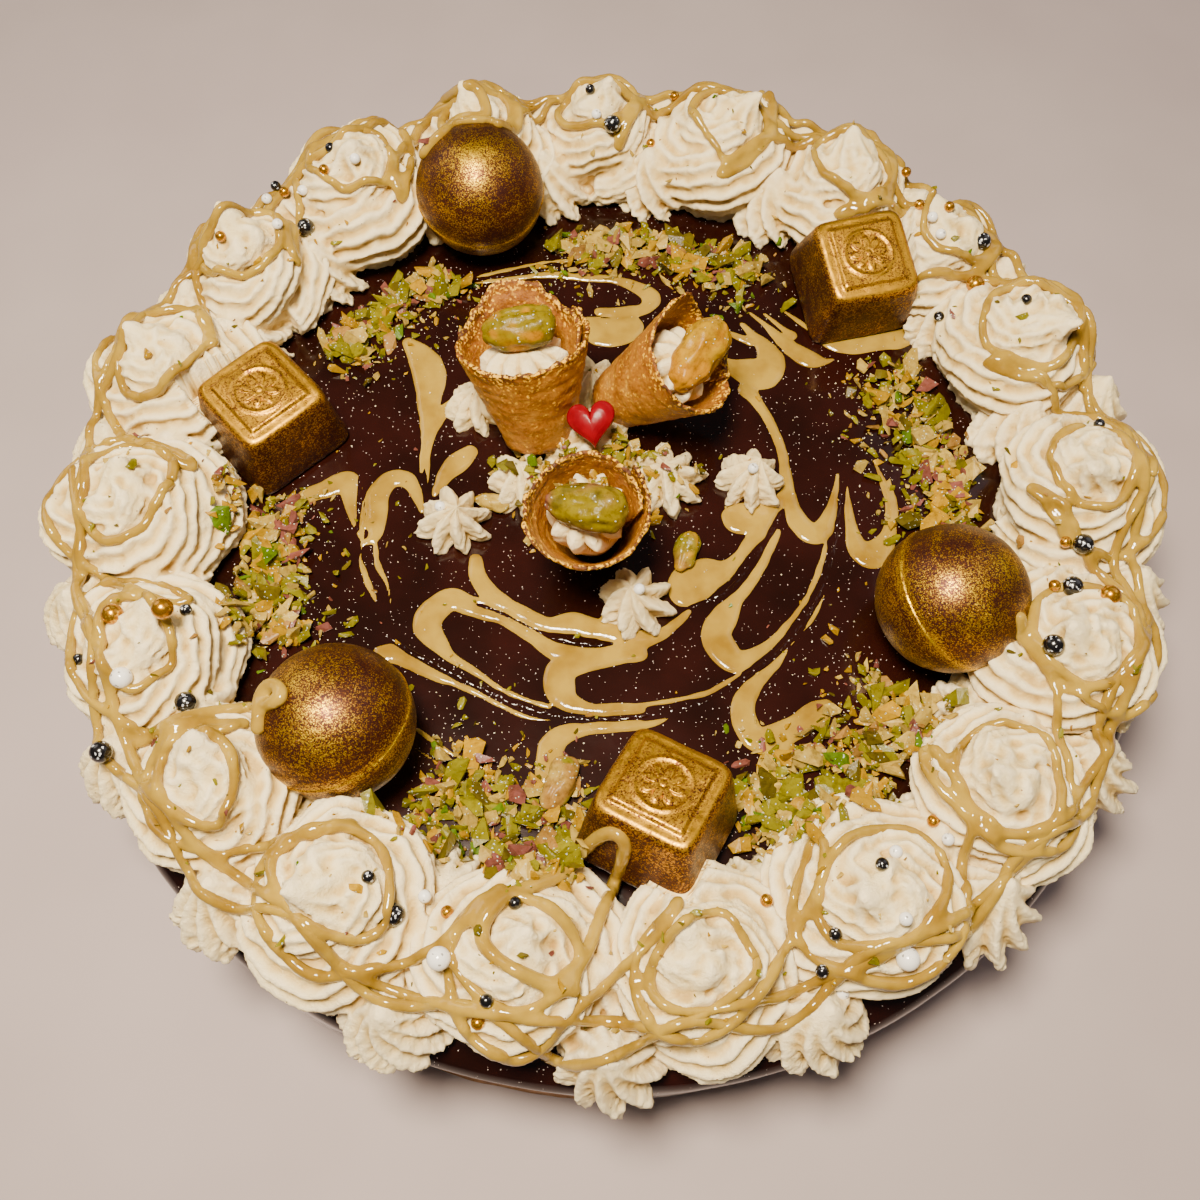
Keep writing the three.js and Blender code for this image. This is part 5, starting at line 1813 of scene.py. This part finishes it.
# --- drizzle
@dataclass
class Drizzle:
    """Caramel poured in loops over the border in three passes, melted where the strands meet."""

    strand: float = 1.15
    waver: float = 2.6  # how far a strand strays from its round, in millimetres
    cell: float = 0.6
    parts: int = 4
    loops: tuple[tuple[tuple[float, float], ...], ...] = (
        ((395, 112), (410, 119), (425, 115), (445, 104), (460, 92), (474, 86), (482, 97), (487, 112),
         (489, 121), (477, 120), (462, 121), (450, 130), (432, 145), (421, 162)),
        ((580, 992), (548, 985), (518, 972), (492, 955), (482, 940), (485, 920), (502, 900), (530, 888),
         (562, 875), (580, 855), (598, 838), (615, 832), (626, 842), (620, 868), (612, 890), (602, 912),
         (592, 940), (582, 962), (562, 980), (555, 988)),
        ((137, 747), (178, 722), (229, 711), (259, 709), (285, 699), (275, 683), (262, 696), (259, 737)))

    def strands(self, crowns: list) -> list[Array]:
        """The strands as x, y rows, each going once round the cake.

        Args:
            crowns: each swirl's middle, radius and height.

        Returns:
            The strands.
        """
        draw = np.random.default_rng(80)
        middles = np.array([crown[0][:2] for crown in crowns])
        radii = np.array([crown[1] for crown in crowns])
        passes = []
        for share, phase, shift in ((0.6, 0.0, 0.6), (0.76, 2.3, 1.6)):
            rows = []
            scale = share * draw.uniform(0.84, 1.12, len(crowns) + 1)
            drift = draw.uniform(-1.7, 1.7, (len(crowns) + 1, 2))
            scale[-1], drift[-1] = scale[0], drift[0]
            steps = 96
            for index in range(len(crowns)):
                after = (index + 1) % len(crowns)
                for step in range(steps):
                    t = step / steps
                    hold = ramp_up(0.25, 0.75, np.array(t))
                    middle = middles[index] * (1 - hold) + middles[after] * hold
                    middle = middle * (1 + shift / 100) + drift[index] * (1 - t) + drift[index + 1] * t
                    reach = (radii[index] * (1 - t) + radii[after] * t) * (scale[index] * (1 - t)
                                                                          + scale[index + 1] * t)
                    out = math.atan2(middle[1], middle[0])
                    turn = out + phase + TURN * (t - 0.5)
                    rows.append(middle + reach * np.array([math.cos(turn), math.sin(turn)]))
            rows = np.array(rows)
            flat = np.column_stack([rows, np.full(len(rows), phase)])
            passes.append(rows + self.waver * np.column_stack([lattice_noise(flat, 15.0, 84 + axis)
                                                               for axis in range(2)]))
        rows = []
        for azimuth in np.arange(0, 360, 1.0):
            wave = 2.6 * math.sin(math.radians(19 * azimuth + 40)) + 1.6 * math.sin(math.radians(7 * azimuth))
            rows.append(polar(azimuth, 111.5 + wave)[:2])
        passes.append(np.array(rows))
        return passes

    def laid(self, flat: Array, ground: Ground) -> Array:
        """Lays a strand on the ground: it follows the ridges and bridges the narrow gaps.

        Args:
            flat: its course as rows of x, y.
            ground: what it lies on.

        Returns:
            The course as rows of x, y, z.
        """
        dense = smooth_path(flat, 0.7)
        level = np.array([ground.drop(x, y)[0] for x, y in dense])
        kernel_row = np.exp(-np.linspace(-2, 2, 13) ** 2)
        kernel_row /= kernel_row.sum()
        padded = np.concatenate([level[-6:], level, level[:6]])
        slack = np.convolve(padded, kernel_row, "valid")
        level = np.maximum(level, 0.25 * level + 0.75 * slack)
        padded = np.concatenate([level[-2:], level, level[:2]])
        level = np.convolve(padded, [0.1, 0.2, 0.4, 0.2, 0.1], "valid")
        return np.column_stack([dense, level + 0.55 * self.strand])

    def thrown(self, pixels: Array, ground: Ground) -> Shape:
        """A single loop, laid where it shows in the photograph's frame.

        Args:
            pixels: its course as pixels of the 1200 x 1200 frame.
            ground: what it lies on.

        Returns:
            The strand.
        """
        spots = [ground.seen(u, v) for u, v in smooth_path(pixels, 5.0)]
        course = np.array([spot[0] for spot in spots if spot is not None])
        course[:, 2] += 0.8 * self.strand
        for _ in range(3):
            course[1:-1] = 0.25 * course[:-2] + 0.5 * course[1:-1] + 0.25 * course[2:]
        course = smooth_path(course, 0.7)
        ends = np.minimum(np.arange(len(course)), np.arange(len(course))[::-1])
        taper = np.sqrt(np.clip((ends + 0.3) / 2.3, 0, 1))
        return tube(course, 1.25 * self.strand * taper * (1 + 0.15 * lattice_noise(course, 6.0, 83)), 8)

    def build(self, ground: Ground, crowns: list) -> None:
        """Builds the drizzle in parts, each one melted mesh.

        Args:
            ground: what it lies on, which gets it too.
            crowns: each swirl's middle, radius and height.
        """
        draw = np.random.default_rng(81)
        laid = []
        for flat in self.strands(crowns):
            path = self.laid(np.vstack([flat, flat[:1]]), ground)
            width = self.strand * (1 + 0.22 * lattice_noise(path, 9.0, int(draw.integers(1, 999))))
            width *= 1 + 0.12 * lattice_noise(path, 3.0, 82)
            laid.append((path, width))
        extra = [self.thrown(np.array(loop, dtype=float), ground) for loop in self.loops]
        for part in range(self.parts):
            shape = None
            for path, width in laid:
                count = len(path)
                low, high = part * count // self.parts, min((part + 1) * count // self.parts + 2, count)
                for start in range(low, high - 2, 120):
                    stop = min(start + 123, high)
                    piece = tube(path[start:stop], width[start:stop], 8)
                    shape = piece if shape is None else shape + piece
            for piece in extra if part == 0 else ():
                shape = shape + piece
            shape = fused(shape, self.cell).relaxed(2)
            ground.add(put(f"Caramel_drizzle_{part + 1}", shape, CARAMEL, "caramel"))


# --- scattered nuts
def chip(seed: int, corners: int) -> Shape:
    """A chopped piece about 1 mm across: flat faces and sharp edges, as a knife leaves them.

    Args:
        seed: picks the corners.
        corners: how many corners it is cut to at most.

    Returns:
        The closed mesh round the origin.
    """
    draw = np.random.default_rng(seed)
    points = draw.normal(size=(corners, 3))
    points *= (draw.uniform(0.4, 0.5, corners) / np.linalg.norm(points, axis=1))[:, None]
    body = bmesh.new()
    for point in points:
        body.verts.new(point)
    bmesh.ops.convex_hull(body, input=body.verts)
    body.verts.index_update()
    faces = np.array([[corner.index for corner in face.verts] + [-1] for face in body.faces])
    body.free()
    used, places = np.unique(faces[:, :3], return_inverse=True)
    faces[:, :3] = places.reshape(-1, 3)
    shape = Shape(points[used], faces).outward()
    return Shape(shape.points, shape.faces, True)


def chip_length(draw: np.random.Generator, middle: float, spread: float, low: float, high: float) -> float:
    """Draws a chopped piece's length: many small ones, a few large.

    Args:
        draw: the source of chance.
        middle: the natural logarithm of the middle length in millimetres.
        spread: how much the logarithm varies.
        low: the shortest length.
        high: the longest length.

    Returns:
        The length in millimetres.
    """
    return float(np.clip(draw.lognormal(middle, spread), low, high))


@dataclass
class Scatter:
    """Points that small pieces are set on, with each piece's kind, size, turn and tint."""

    rows: list[tuple] = field(default_factory=list)

    def add(self, place: Sequence[float], turn: Sequence[float], size: Sequence[float], kind: int,
            tint: Sequence[float]) -> None:
        """Adds one piece: place and size in millimetres, turn in radians.

        Args:
            place: where it lies.
            turn: its turn about each axis.
            size: along each axis.
            kind: which of the shapes it is.
            tint: its linear colour.
        """
        self.rows.append((tuple(place), tuple(turn), tuple(size), kind, tuple(tint)))

    def tree(self, kinds: int, finish: Finish) -> Tree:
        """The node tree that sets the pieces on the points and makes them real.

        Args:
            kinds: how many kinds of piece there are.
            finish: the finish of them all.

        Returns:
            A Geometry Nodes tree with an object input for each kind.
        """
        tree = bpy.data.node_groups.new("set_pieces", "GeometryNodeTree")
        tree.interface.new_socket("Points", in_out="INPUT", socket_type="NodeSocketGeometry")
        for kind in range(kinds):
            tree.interface.new_socket(f"Kind {kind}", in_out="INPUT", socket_type="NodeSocketObject")
        size_input = tree.interface.new_socket("Size", in_out="INPUT", socket_type="NodeSocketFloat")
        size_input.default_value = 1.0
        tree.interface.new_socket("Pieces", in_out="OUTPUT", socket_type="NodeSocketGeometry")
        entry = add_node(tree, "NodeGroupInput")
        turn, size, kind_of = (add_node(tree, "GeometryNodeInputNamedAttribute", values={"Name": name},
                                        data_type=form)
                               for name, form in (("turn", "FLOAT_VECTOR"), ("size", "FLOAT_VECTOR"),
                                                  ("kind", "INT")))
        scaled = add_node(tree, "ShaderNodeVectorMath", {0: size, "Scale": entry.outputs["Size"]},
                          operation="SCALE")
        joined = add_node(tree, "GeometryNodeJoinGeometry")
        for kind in range(kinds):
            source = add_node(tree, "GeometryNodeObjectInfo", {"Object": entry.outputs[f"Kind {kind}"]})
            same = add_node(tree, "FunctionNodeCompare", {2: kind_of}, {3: kind},
                            data_type="INT", operation="EQUAL")
            placed = add_node(tree, "GeometryNodeInstanceOnPoints",
                              {"Points": entry.outputs["Points"], "Selection": same,
                               "Instance": source.outputs["Geometry"], "Rotation": turn, "Scale": scaled})
            tree.links.new(placed.outputs["Instances"], joined.inputs["Geometry"])
        real = add_node(tree, "GeometryNodeRealizeInstances", {"Geometry": joined})
        dressed = add_node(tree, "GeometryNodeSetMaterial", {"Geometry": real},
                           {"Material": finish.material()})
        add_node(tree, "NodeGroupOutput", {"Pieces": dressed})
        return tree

    def build(self, name: str, kinds: Sequence[Shape], finish: Finish, slot: str,
              replaces: Sequence[str] = ()) -> Piece:
        """Sets the pieces and makes them one mesh that rides on the cake.

        Args:
            name: the piece's name.
            kinds: the small shapes, about 1 mm across.
            finish: the finish of them all.
            slot: not used.
            replaces: the CAD nodes that they stand for.

        Returns:
            The object.
        """
        mesh = bpy.data.meshes.new("spots")
        places, turns, sizes, which, tints = zip(*self.rows)
        mesh.from_pydata([tuple(MM * v for v in place) for place in places], [], [])
        for key, kind, socket, values in (("turn", "FLOAT_VECTOR", "vector", turns),
                                          ("size", "FLOAT_VECTOR", "vector", sizes),
                                          ("kind", "INT", "value", which),
                                          ("tint", "FLOAT_COLOR", "color", tints)):
            layer = mesh.attributes.new(key, kind, "POINT")
            layer.data.foreach_set(socket, np.array(values).ravel())
        holder = in_scene("spots", mesh)
        sources = [in_scene(f"kind_{number}", shape.mesh(f"kind_{number}"))
                   for number, shape in enumerate(kinds)]
        tree = self.tree(len(kinds), finish)
        modifier = holder.modifiers.new("set", "NODES")
        modifier.node_group = tree
        inputs = [item for item in tree.interface.items_tree if item.in_out == "INPUT"]
        for item, source in zip(inputs[1:], sources):
            modifier[item.identifier] = source
        graph = bpy.context.evaluated_depsgraph_get()
        real = bpy.data.meshes.new_from_object(holder.evaluated_get(graph))
        holder.modifiers.remove(modifier)
        for spare in [holder] + sources:
            bpy.data.objects.remove(spare)
        bpy.data.node_groups.remove(tree)
        real.name = name
        piece = in_scene(name, real)
        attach(piece, "root")
        if replaces:
            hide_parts(*replaces)
        log.info("%s: %d pieces, %d points", name, len(self.rows), len(real.vertices))
        return piece


@dataclass
class ChoppedNut:
    """Chopped pistachio: six drifts inside the border, the mound's cover and strays on the cream."""

    drifts: tuple[tuple[str, float, float, float], ...] = (
        ("back", 62, 101, 71), ("back_left", 119, 147, 72), ("left", 176, 206, 69),
        ("front_left", 238, 268, 63), ("front_right", 291, 330, 66), ("right", 358, 393, 69))
    outer: float = 84.5
    crowding: float = 0.6  # pieces to a square millimetre of a drift
    spread: float = 6.0  # how far single pieces lie inside a drift, in millimetres
    on_mound: int = 520
    in_front_wafer: int = 90
    on_border: int = 330
    on_glaze: int = 170
    crumbs: int = 1200
    chip_kinds: int = 8
    crumb_kinds: int = 4
    shares: tuple[tuple[Tint, float], ...] = (
        (Tint.PALE, 0.25), (Tint.YELLOW, 0.2), (Tint.GREEN, 0.31), (Tint.BRIGHT, 0.035),
        (Tint.OLIVE, 0.07), (Tint.MAUVE, 0.07), (Tint.TAN, 0.04))

    def tint(self, draw: np.random.Generator) -> Array:
        """A piece's colour, drawn by the tints' shares and varied a little.

        Args:
            draw: the source of chance.

        Returns:
            Linear red, green, blue and alpha.
        """
        tints, weights = zip(*self.shares)
        picked = tints[draw.choice(len(tints), p=np.array(weights) / sum(weights))]
        colour = np.array(linear(picked.value))
        colour[:3] *= draw.uniform(0.8, 1.2)
        return colour

    def build(self, ground: Ground) -> None:
        """Builds the drifts, then the strays and the crumbs.

        Args:
            ground: what they lie on.
        """
        kinds = [chip(seed, 8 + seed % 5) for seed in range(900, 900 + self.chip_kinds)]
        for index, (key, start, stop, inner) in enumerate(self.drifts):
            draw = np.random.default_rng(910 + index)
            scatter = Scatter()
            area = math.radians(stop - start) * 0.5 * (self.outer ** 2 - inner ** 2)
            for number in range(int(area * self.crowding)):
                edge = draw.normal(0, 0.17) if draw.uniform() < 0.22 else 0.0
                along = draw.uniform(0.02, 0.98) + edge
                across = np.clip(draw.beta(1.5, 1.2) + draw.normal(0, 0.07), -0.25, 1.03)
                azimuth = start + (stop - start) * along
                x, y, _ = polar(azimuth, inner + (self.outer - inner) * across)
                length = chip_length(draw, 1.22, 0.58, 1.2, 9.5)
                self.lay(scatter, ground, draw, x, y, length, 0.55 if number % 3 else 1.5)
            scatter.build(f"Nut_rubble_{key}", kinds, NUT, "pistachio", [f"chopped_nut_{key}"])
        self.strays(ground, kinds)

    def lay(self, scatter: Scatter, ground: Ground, draw: np.random.Generator, x: float, y: float,
            length: float, pile: float) -> None:
        """Lays one piece on what is under it.

        Args:
            scatter: gets the piece.
            ground: what it lies on.
            draw: the source of chance.
            x: its place in millimetres.
            y: its place in millimetres.
            length: along its longest side.
            pile: how high it may lie on others.
        """
        level, stays = ground.drop(x, y)
        if not stays:
            return
        size = length * np.array([1.0, draw.uniform(0.4, 0.8), draw.uniform(0.22, 0.5)])
        turn = (draw.normal(0, 0.5), draw.normal(0, 0.5), draw.uniform(0, TURN))
        lift = 0.4 * size[2] + (draw.uniform(0, pile) if length > 1.2 else 0.0)
        scatter.add((x, y, level + lift), turn, size, int(draw.integers(0, self.chip_kinds)), self.tint(draw))

    def strays(self, ground: Ground, kinds: list[Shape]) -> None:
        """Pieces on the mound and on the cream, and crumbs over the glaze.

        Args:
            ground: what they lie on.
            kinds: the chips' shapes.
        """
        draw = np.random.default_rng(930)
        loose, crumbs = Scatter(), Scatter()
        for _ in range(self.on_mound):
            x, y = draw.normal((-3.0, 11.0), (9.0, 6.5))
            self.lay(loose, ground, draw, x, y, chip_length(draw, 1.05, 0.45, 1.2, 6.0), 0.6)
        for _ in range(self.in_front_wafer):
            x, y = draw.normal((-4.6, -9.0), (3.8, 3.0))
            self.lay(loose, ground, draw, x, y, float(draw.uniform(1.0, 2.6)), 0.4)
        for _, start, stop, inner in self.drifts:
            for _ in range(int(2.6 * (stop - start))):
                azimuth = draw.uniform(start - 3, stop + 3)
                x, y, _ = polar(azimuth, inner + 3 - abs(draw.normal(0, self.spread)))
                self.lay(loose, ground, draw, x, y, chip_length(draw, 0.85, 0.5, 0.9, 5.5), 0.0)
        for _ in range(self.on_border):
            azimuth, reach = draw.uniform(0, 360), draw.normal(98, 10)
            if 80 < reach < 116:
                x, y, _ = polar(azimuth, reach)
                self.lay(loose, ground, draw, x, y, chip_length(draw, 0.5, 0.5, 0.8, 4.2), 0.0)
        for _ in range(self.on_glaze):
            azimuth, reach = draw.uniform(0, 360), 86 * math.sqrt(draw.uniform(0.02, 1))
            x, y, _ = polar(azimuth, reach)
            self.lay(loose, ground, draw, x, y, float(draw.uniform(0.8, 2.2)), 0.0)
        loose.build("Nut_strays", kinds, NUT, "pistachio")
        small = [chip(seed, 8) for seed in range(940, 940 + self.crumb_kinds)]
        pale = np.array(linear("#e6dfc6"))
        for _ in range(self.crumbs):
            if draw.uniform() < 0.75:
                _, start, stop, inner = self.drifts[draw.integers(0, len(self.drifts))]
                azimuth = draw.uniform(start - 8, stop + 8)
                reach = inner + draw.normal(2, 8)
            else:
                azimuth, reach = draw.uniform(0, 360), 84 * math.sqrt(draw.uniform(0.02, 1))
            x, y, _ = polar(azimuth, min(reach, 86))
            level, stays = ground.drop(x, y)
            if not stays:
                continue
            size = draw.uniform(0.2, 0.6) * np.array([1, draw.uniform(0.4, 0.9), 0.5])
            turn = (draw.normal(0, 0.3), draw.normal(0, 0.3), draw.uniform(0, TURN))
            crumbs.add((x, y, level + 0.25 * size[0]), turn, size, int(draw.integers(0, self.crumb_kinds)),
                       pale * draw.uniform(0.75, 1.1))
        crumbs.build("Nut_crumbs", small, NUT, "pistachio")


# --- sugar pearls
@dataclass(frozen=True)
class PearlFinish(Finish):
    """A sugar pearl: hard shell with a lustre coat, specked where the coat is thin."""

    name: str = "sugar_pearl_black"
    colour: str = "#0c0a0b"
    speck: str = "#b9bcc4"
    share: float = 0.93
    metal: float = 0.0
    gloss: float = 0.2

    def wire(self, add: Callable[..., Node], place: Socket) -> Node:
        """Even colour with flakes of 0.4 mm, as coarse as they need to be to show.

        Args:
            add: adds a node to the material's tree.
            place: the Object coordinates.

        Returns:
            The surface's node.
        """
        flakes = add("ShaderNodeTexVoronoi", {"Vector": place}, {"Scale": per_mm(0.4)})
        flake = add("ShaderNodeSeparateColor", {0: flakes.outputs["Color"]})
        kept = add("ShaderNodeMath", {0: flake}, {1: self.share}, operation="GREATER_THAN")
        tone = add("ShaderNodeMix", {0: kept},
                   {6: linear(self.colour), 7: linear(self.speck)}, data_type="RGBA")
        bump = add("ShaderNodeBump", {"Height": flake.outputs[1]},
                   {"Strength": 0.1, "Distance": 0.1 * MM})
        return add("ShaderNodeBsdfPrincipled", {"Base Color": tone.outputs[2], "Normal": bump},
                   {"Metallic": self.metal, "Roughness": self.gloss, "Coat Weight": 0.5,
                    "Coat Roughness": 0.08})


PEARL_BLACK = PearlFinish()
PEARL_GOLD = PearlFinish("sugar_pearl_gold", "#b07a0c", "#dcae3c", 0.85, 0.85, 0.25)
PEARL_WHITE = PearlFinish("sugar_pearl_white", "#e9e6e0", "#8f8c86", 0.95, 0.0, 0.18)


@dataclass
class SugarPearls:
    """Sugar pearls where the photograph shows them, as pixels of its frame."""

    large: float = 4.3
    small: float = 2.5

    def build(self, ground: Ground) -> None:
        """Builds the black, gold and white pearls, each kind one mesh.

        Args:
            ground: what they lie on.
        """
        kinds = (("black", PEARL_BLACK, "black_pearl",
             [(101, 753), (184, 700), (399, 917), (613, 122), (307, 222), (266, 187), (985, 243),
              (1082, 546), (1074, 593), (1154, 566), (1057, 643)],
             [(78, 663), (186, 612), (366, 880), (515, 903), (487, 1001), (592, 90), (331, 147),
              (277, 189), (1026, 302), (1098, 425), (964, 194), (940, 318), (885, 866), (834, 936),
              (825, 969)]),
            ("gold", PEARL_GOLD, "gold_pearl", [(974, 281), (1114, 595), (113, 619), (158, 607)],
             [(221, 236), (284, 193), (325, 172), (675, 98), (654, 144),
              (918, 207), (947, 209), (904, 174), (1066, 540), (1054, 588), (450, 915), (479, 1025),
              (765, 901), (935, 824)]),
            ("white", PEARL_WHITE, "white_pearl", [(444, 958), (909, 963), (123, 678)],
             [(269, 201), (305, 188), (353, 158), (278, 226), (596, 114), (933, 218),
              (939, 234), (422, 896), (897, 855), (947, 838), (904, 919), (842, 997), (443, 506),
              (636, 590), (753, 467)]),
        )
        ball = pearl()
        for name, finish, slot, large, small in kinds:
            scatter = Scatter()
            for spots, size in ((large, self.large), (small, self.small)):
                for u, v in spots:
                    found = ground.seen(u, v)
                    if found is None:
                        continue
                    middle = found[0] + np.array(found[1]) * 0.32 * size
                    scatter.add(middle, (0, 0, u * 0.1), (size, size, size * 0.97), 0, linear("#ffffff"))
            scatter.build(f"Sugar_pearls_{name}", [ball], finish, slot)


def pearl() -> Shape:
    """A pearl 1 mm across.

    Returns:
        The closed mesh round the origin.
    """
    rows, columns = 12, 20
    rings = np.array([[(0.5 * math.sin(b) * math.cos(a), 0.5 * math.sin(b) * math.sin(a), -0.5 * math.cos(b))
                       for a in np.arange(columns) * TURN / columns]
                      for b in np.linspace(0.16, math.pi - 0.16, rows)])
    return loft(rings)


# --- the whole
def main() -> None:
    """Builds the studio and every piece in order."""
    Studio().build()
    ground = Ground()
    BakedBody().build()
    Glaze().build(ground)
    blocks = (GoldBlock(1, -78.0, 21.0, 44, (0.06, -0.06, 1)),
              GoldBlock(2, 58.6, 64.0, 14, (0.04, -0.24, 1)),
              GoldBlock(3, 10.6, -72.0, -28, (0.02, 0.26, 1)))
    crowns = CreamBorder().build(ground, blocks)
    for ball in (GoldBall(1, (-32.6, 82.0, 58.9), (0.05, -0.2, 1)),
                 GoldBall(2, (70.9, -25.4, 58.9), (0.75, 0.1, 1)),
                 GoldBall(3, (-52.6, -54.4, 58.9), (-0.35, 0.3, 1))):
        ground.add(ball.build(), False)
    for block in blocks:
        ground.add(block.build(), False)
    for wafer in (RolledWafer("left", -16.6, 20.4, (-0.12, 0.34, 0.93), 100, 8, (0, -0.1, 1), 0.5, 16.2,
                              (Tint.FRESH, Tint.FRESH, Tint.RIPE), 11, low=3.4),
                  RolledWafer("right", 0.8, 29.0, (0.62, -0.1, 0.76), 130, 73, (-0.14, -0.47, 0.87), 0.8,
                              18.0, (Tint.RIPE, Tint.YELLOW, Tint.RIPE), 12, low=1.0, slim=0.84),
                  RolledWafer("front", -3.4, -5.5, (-0.04, -0.26, 0.96), 215, -11, (-0.11, 0, 1), 0.0, 17.0,
                              (Tint.FRESH, Tint.MAUVE, Tint.OLIVE), 13, low=2.2, slim=0.86, crumbed=True)):
        wafer.build(ground)
    Centre().build(ground)
    Drizzle().build(ground, crowns)
    ChoppedNut().build(ground)
    SugarPearls().build(ground)


if __name__ == "__main__":
    main()
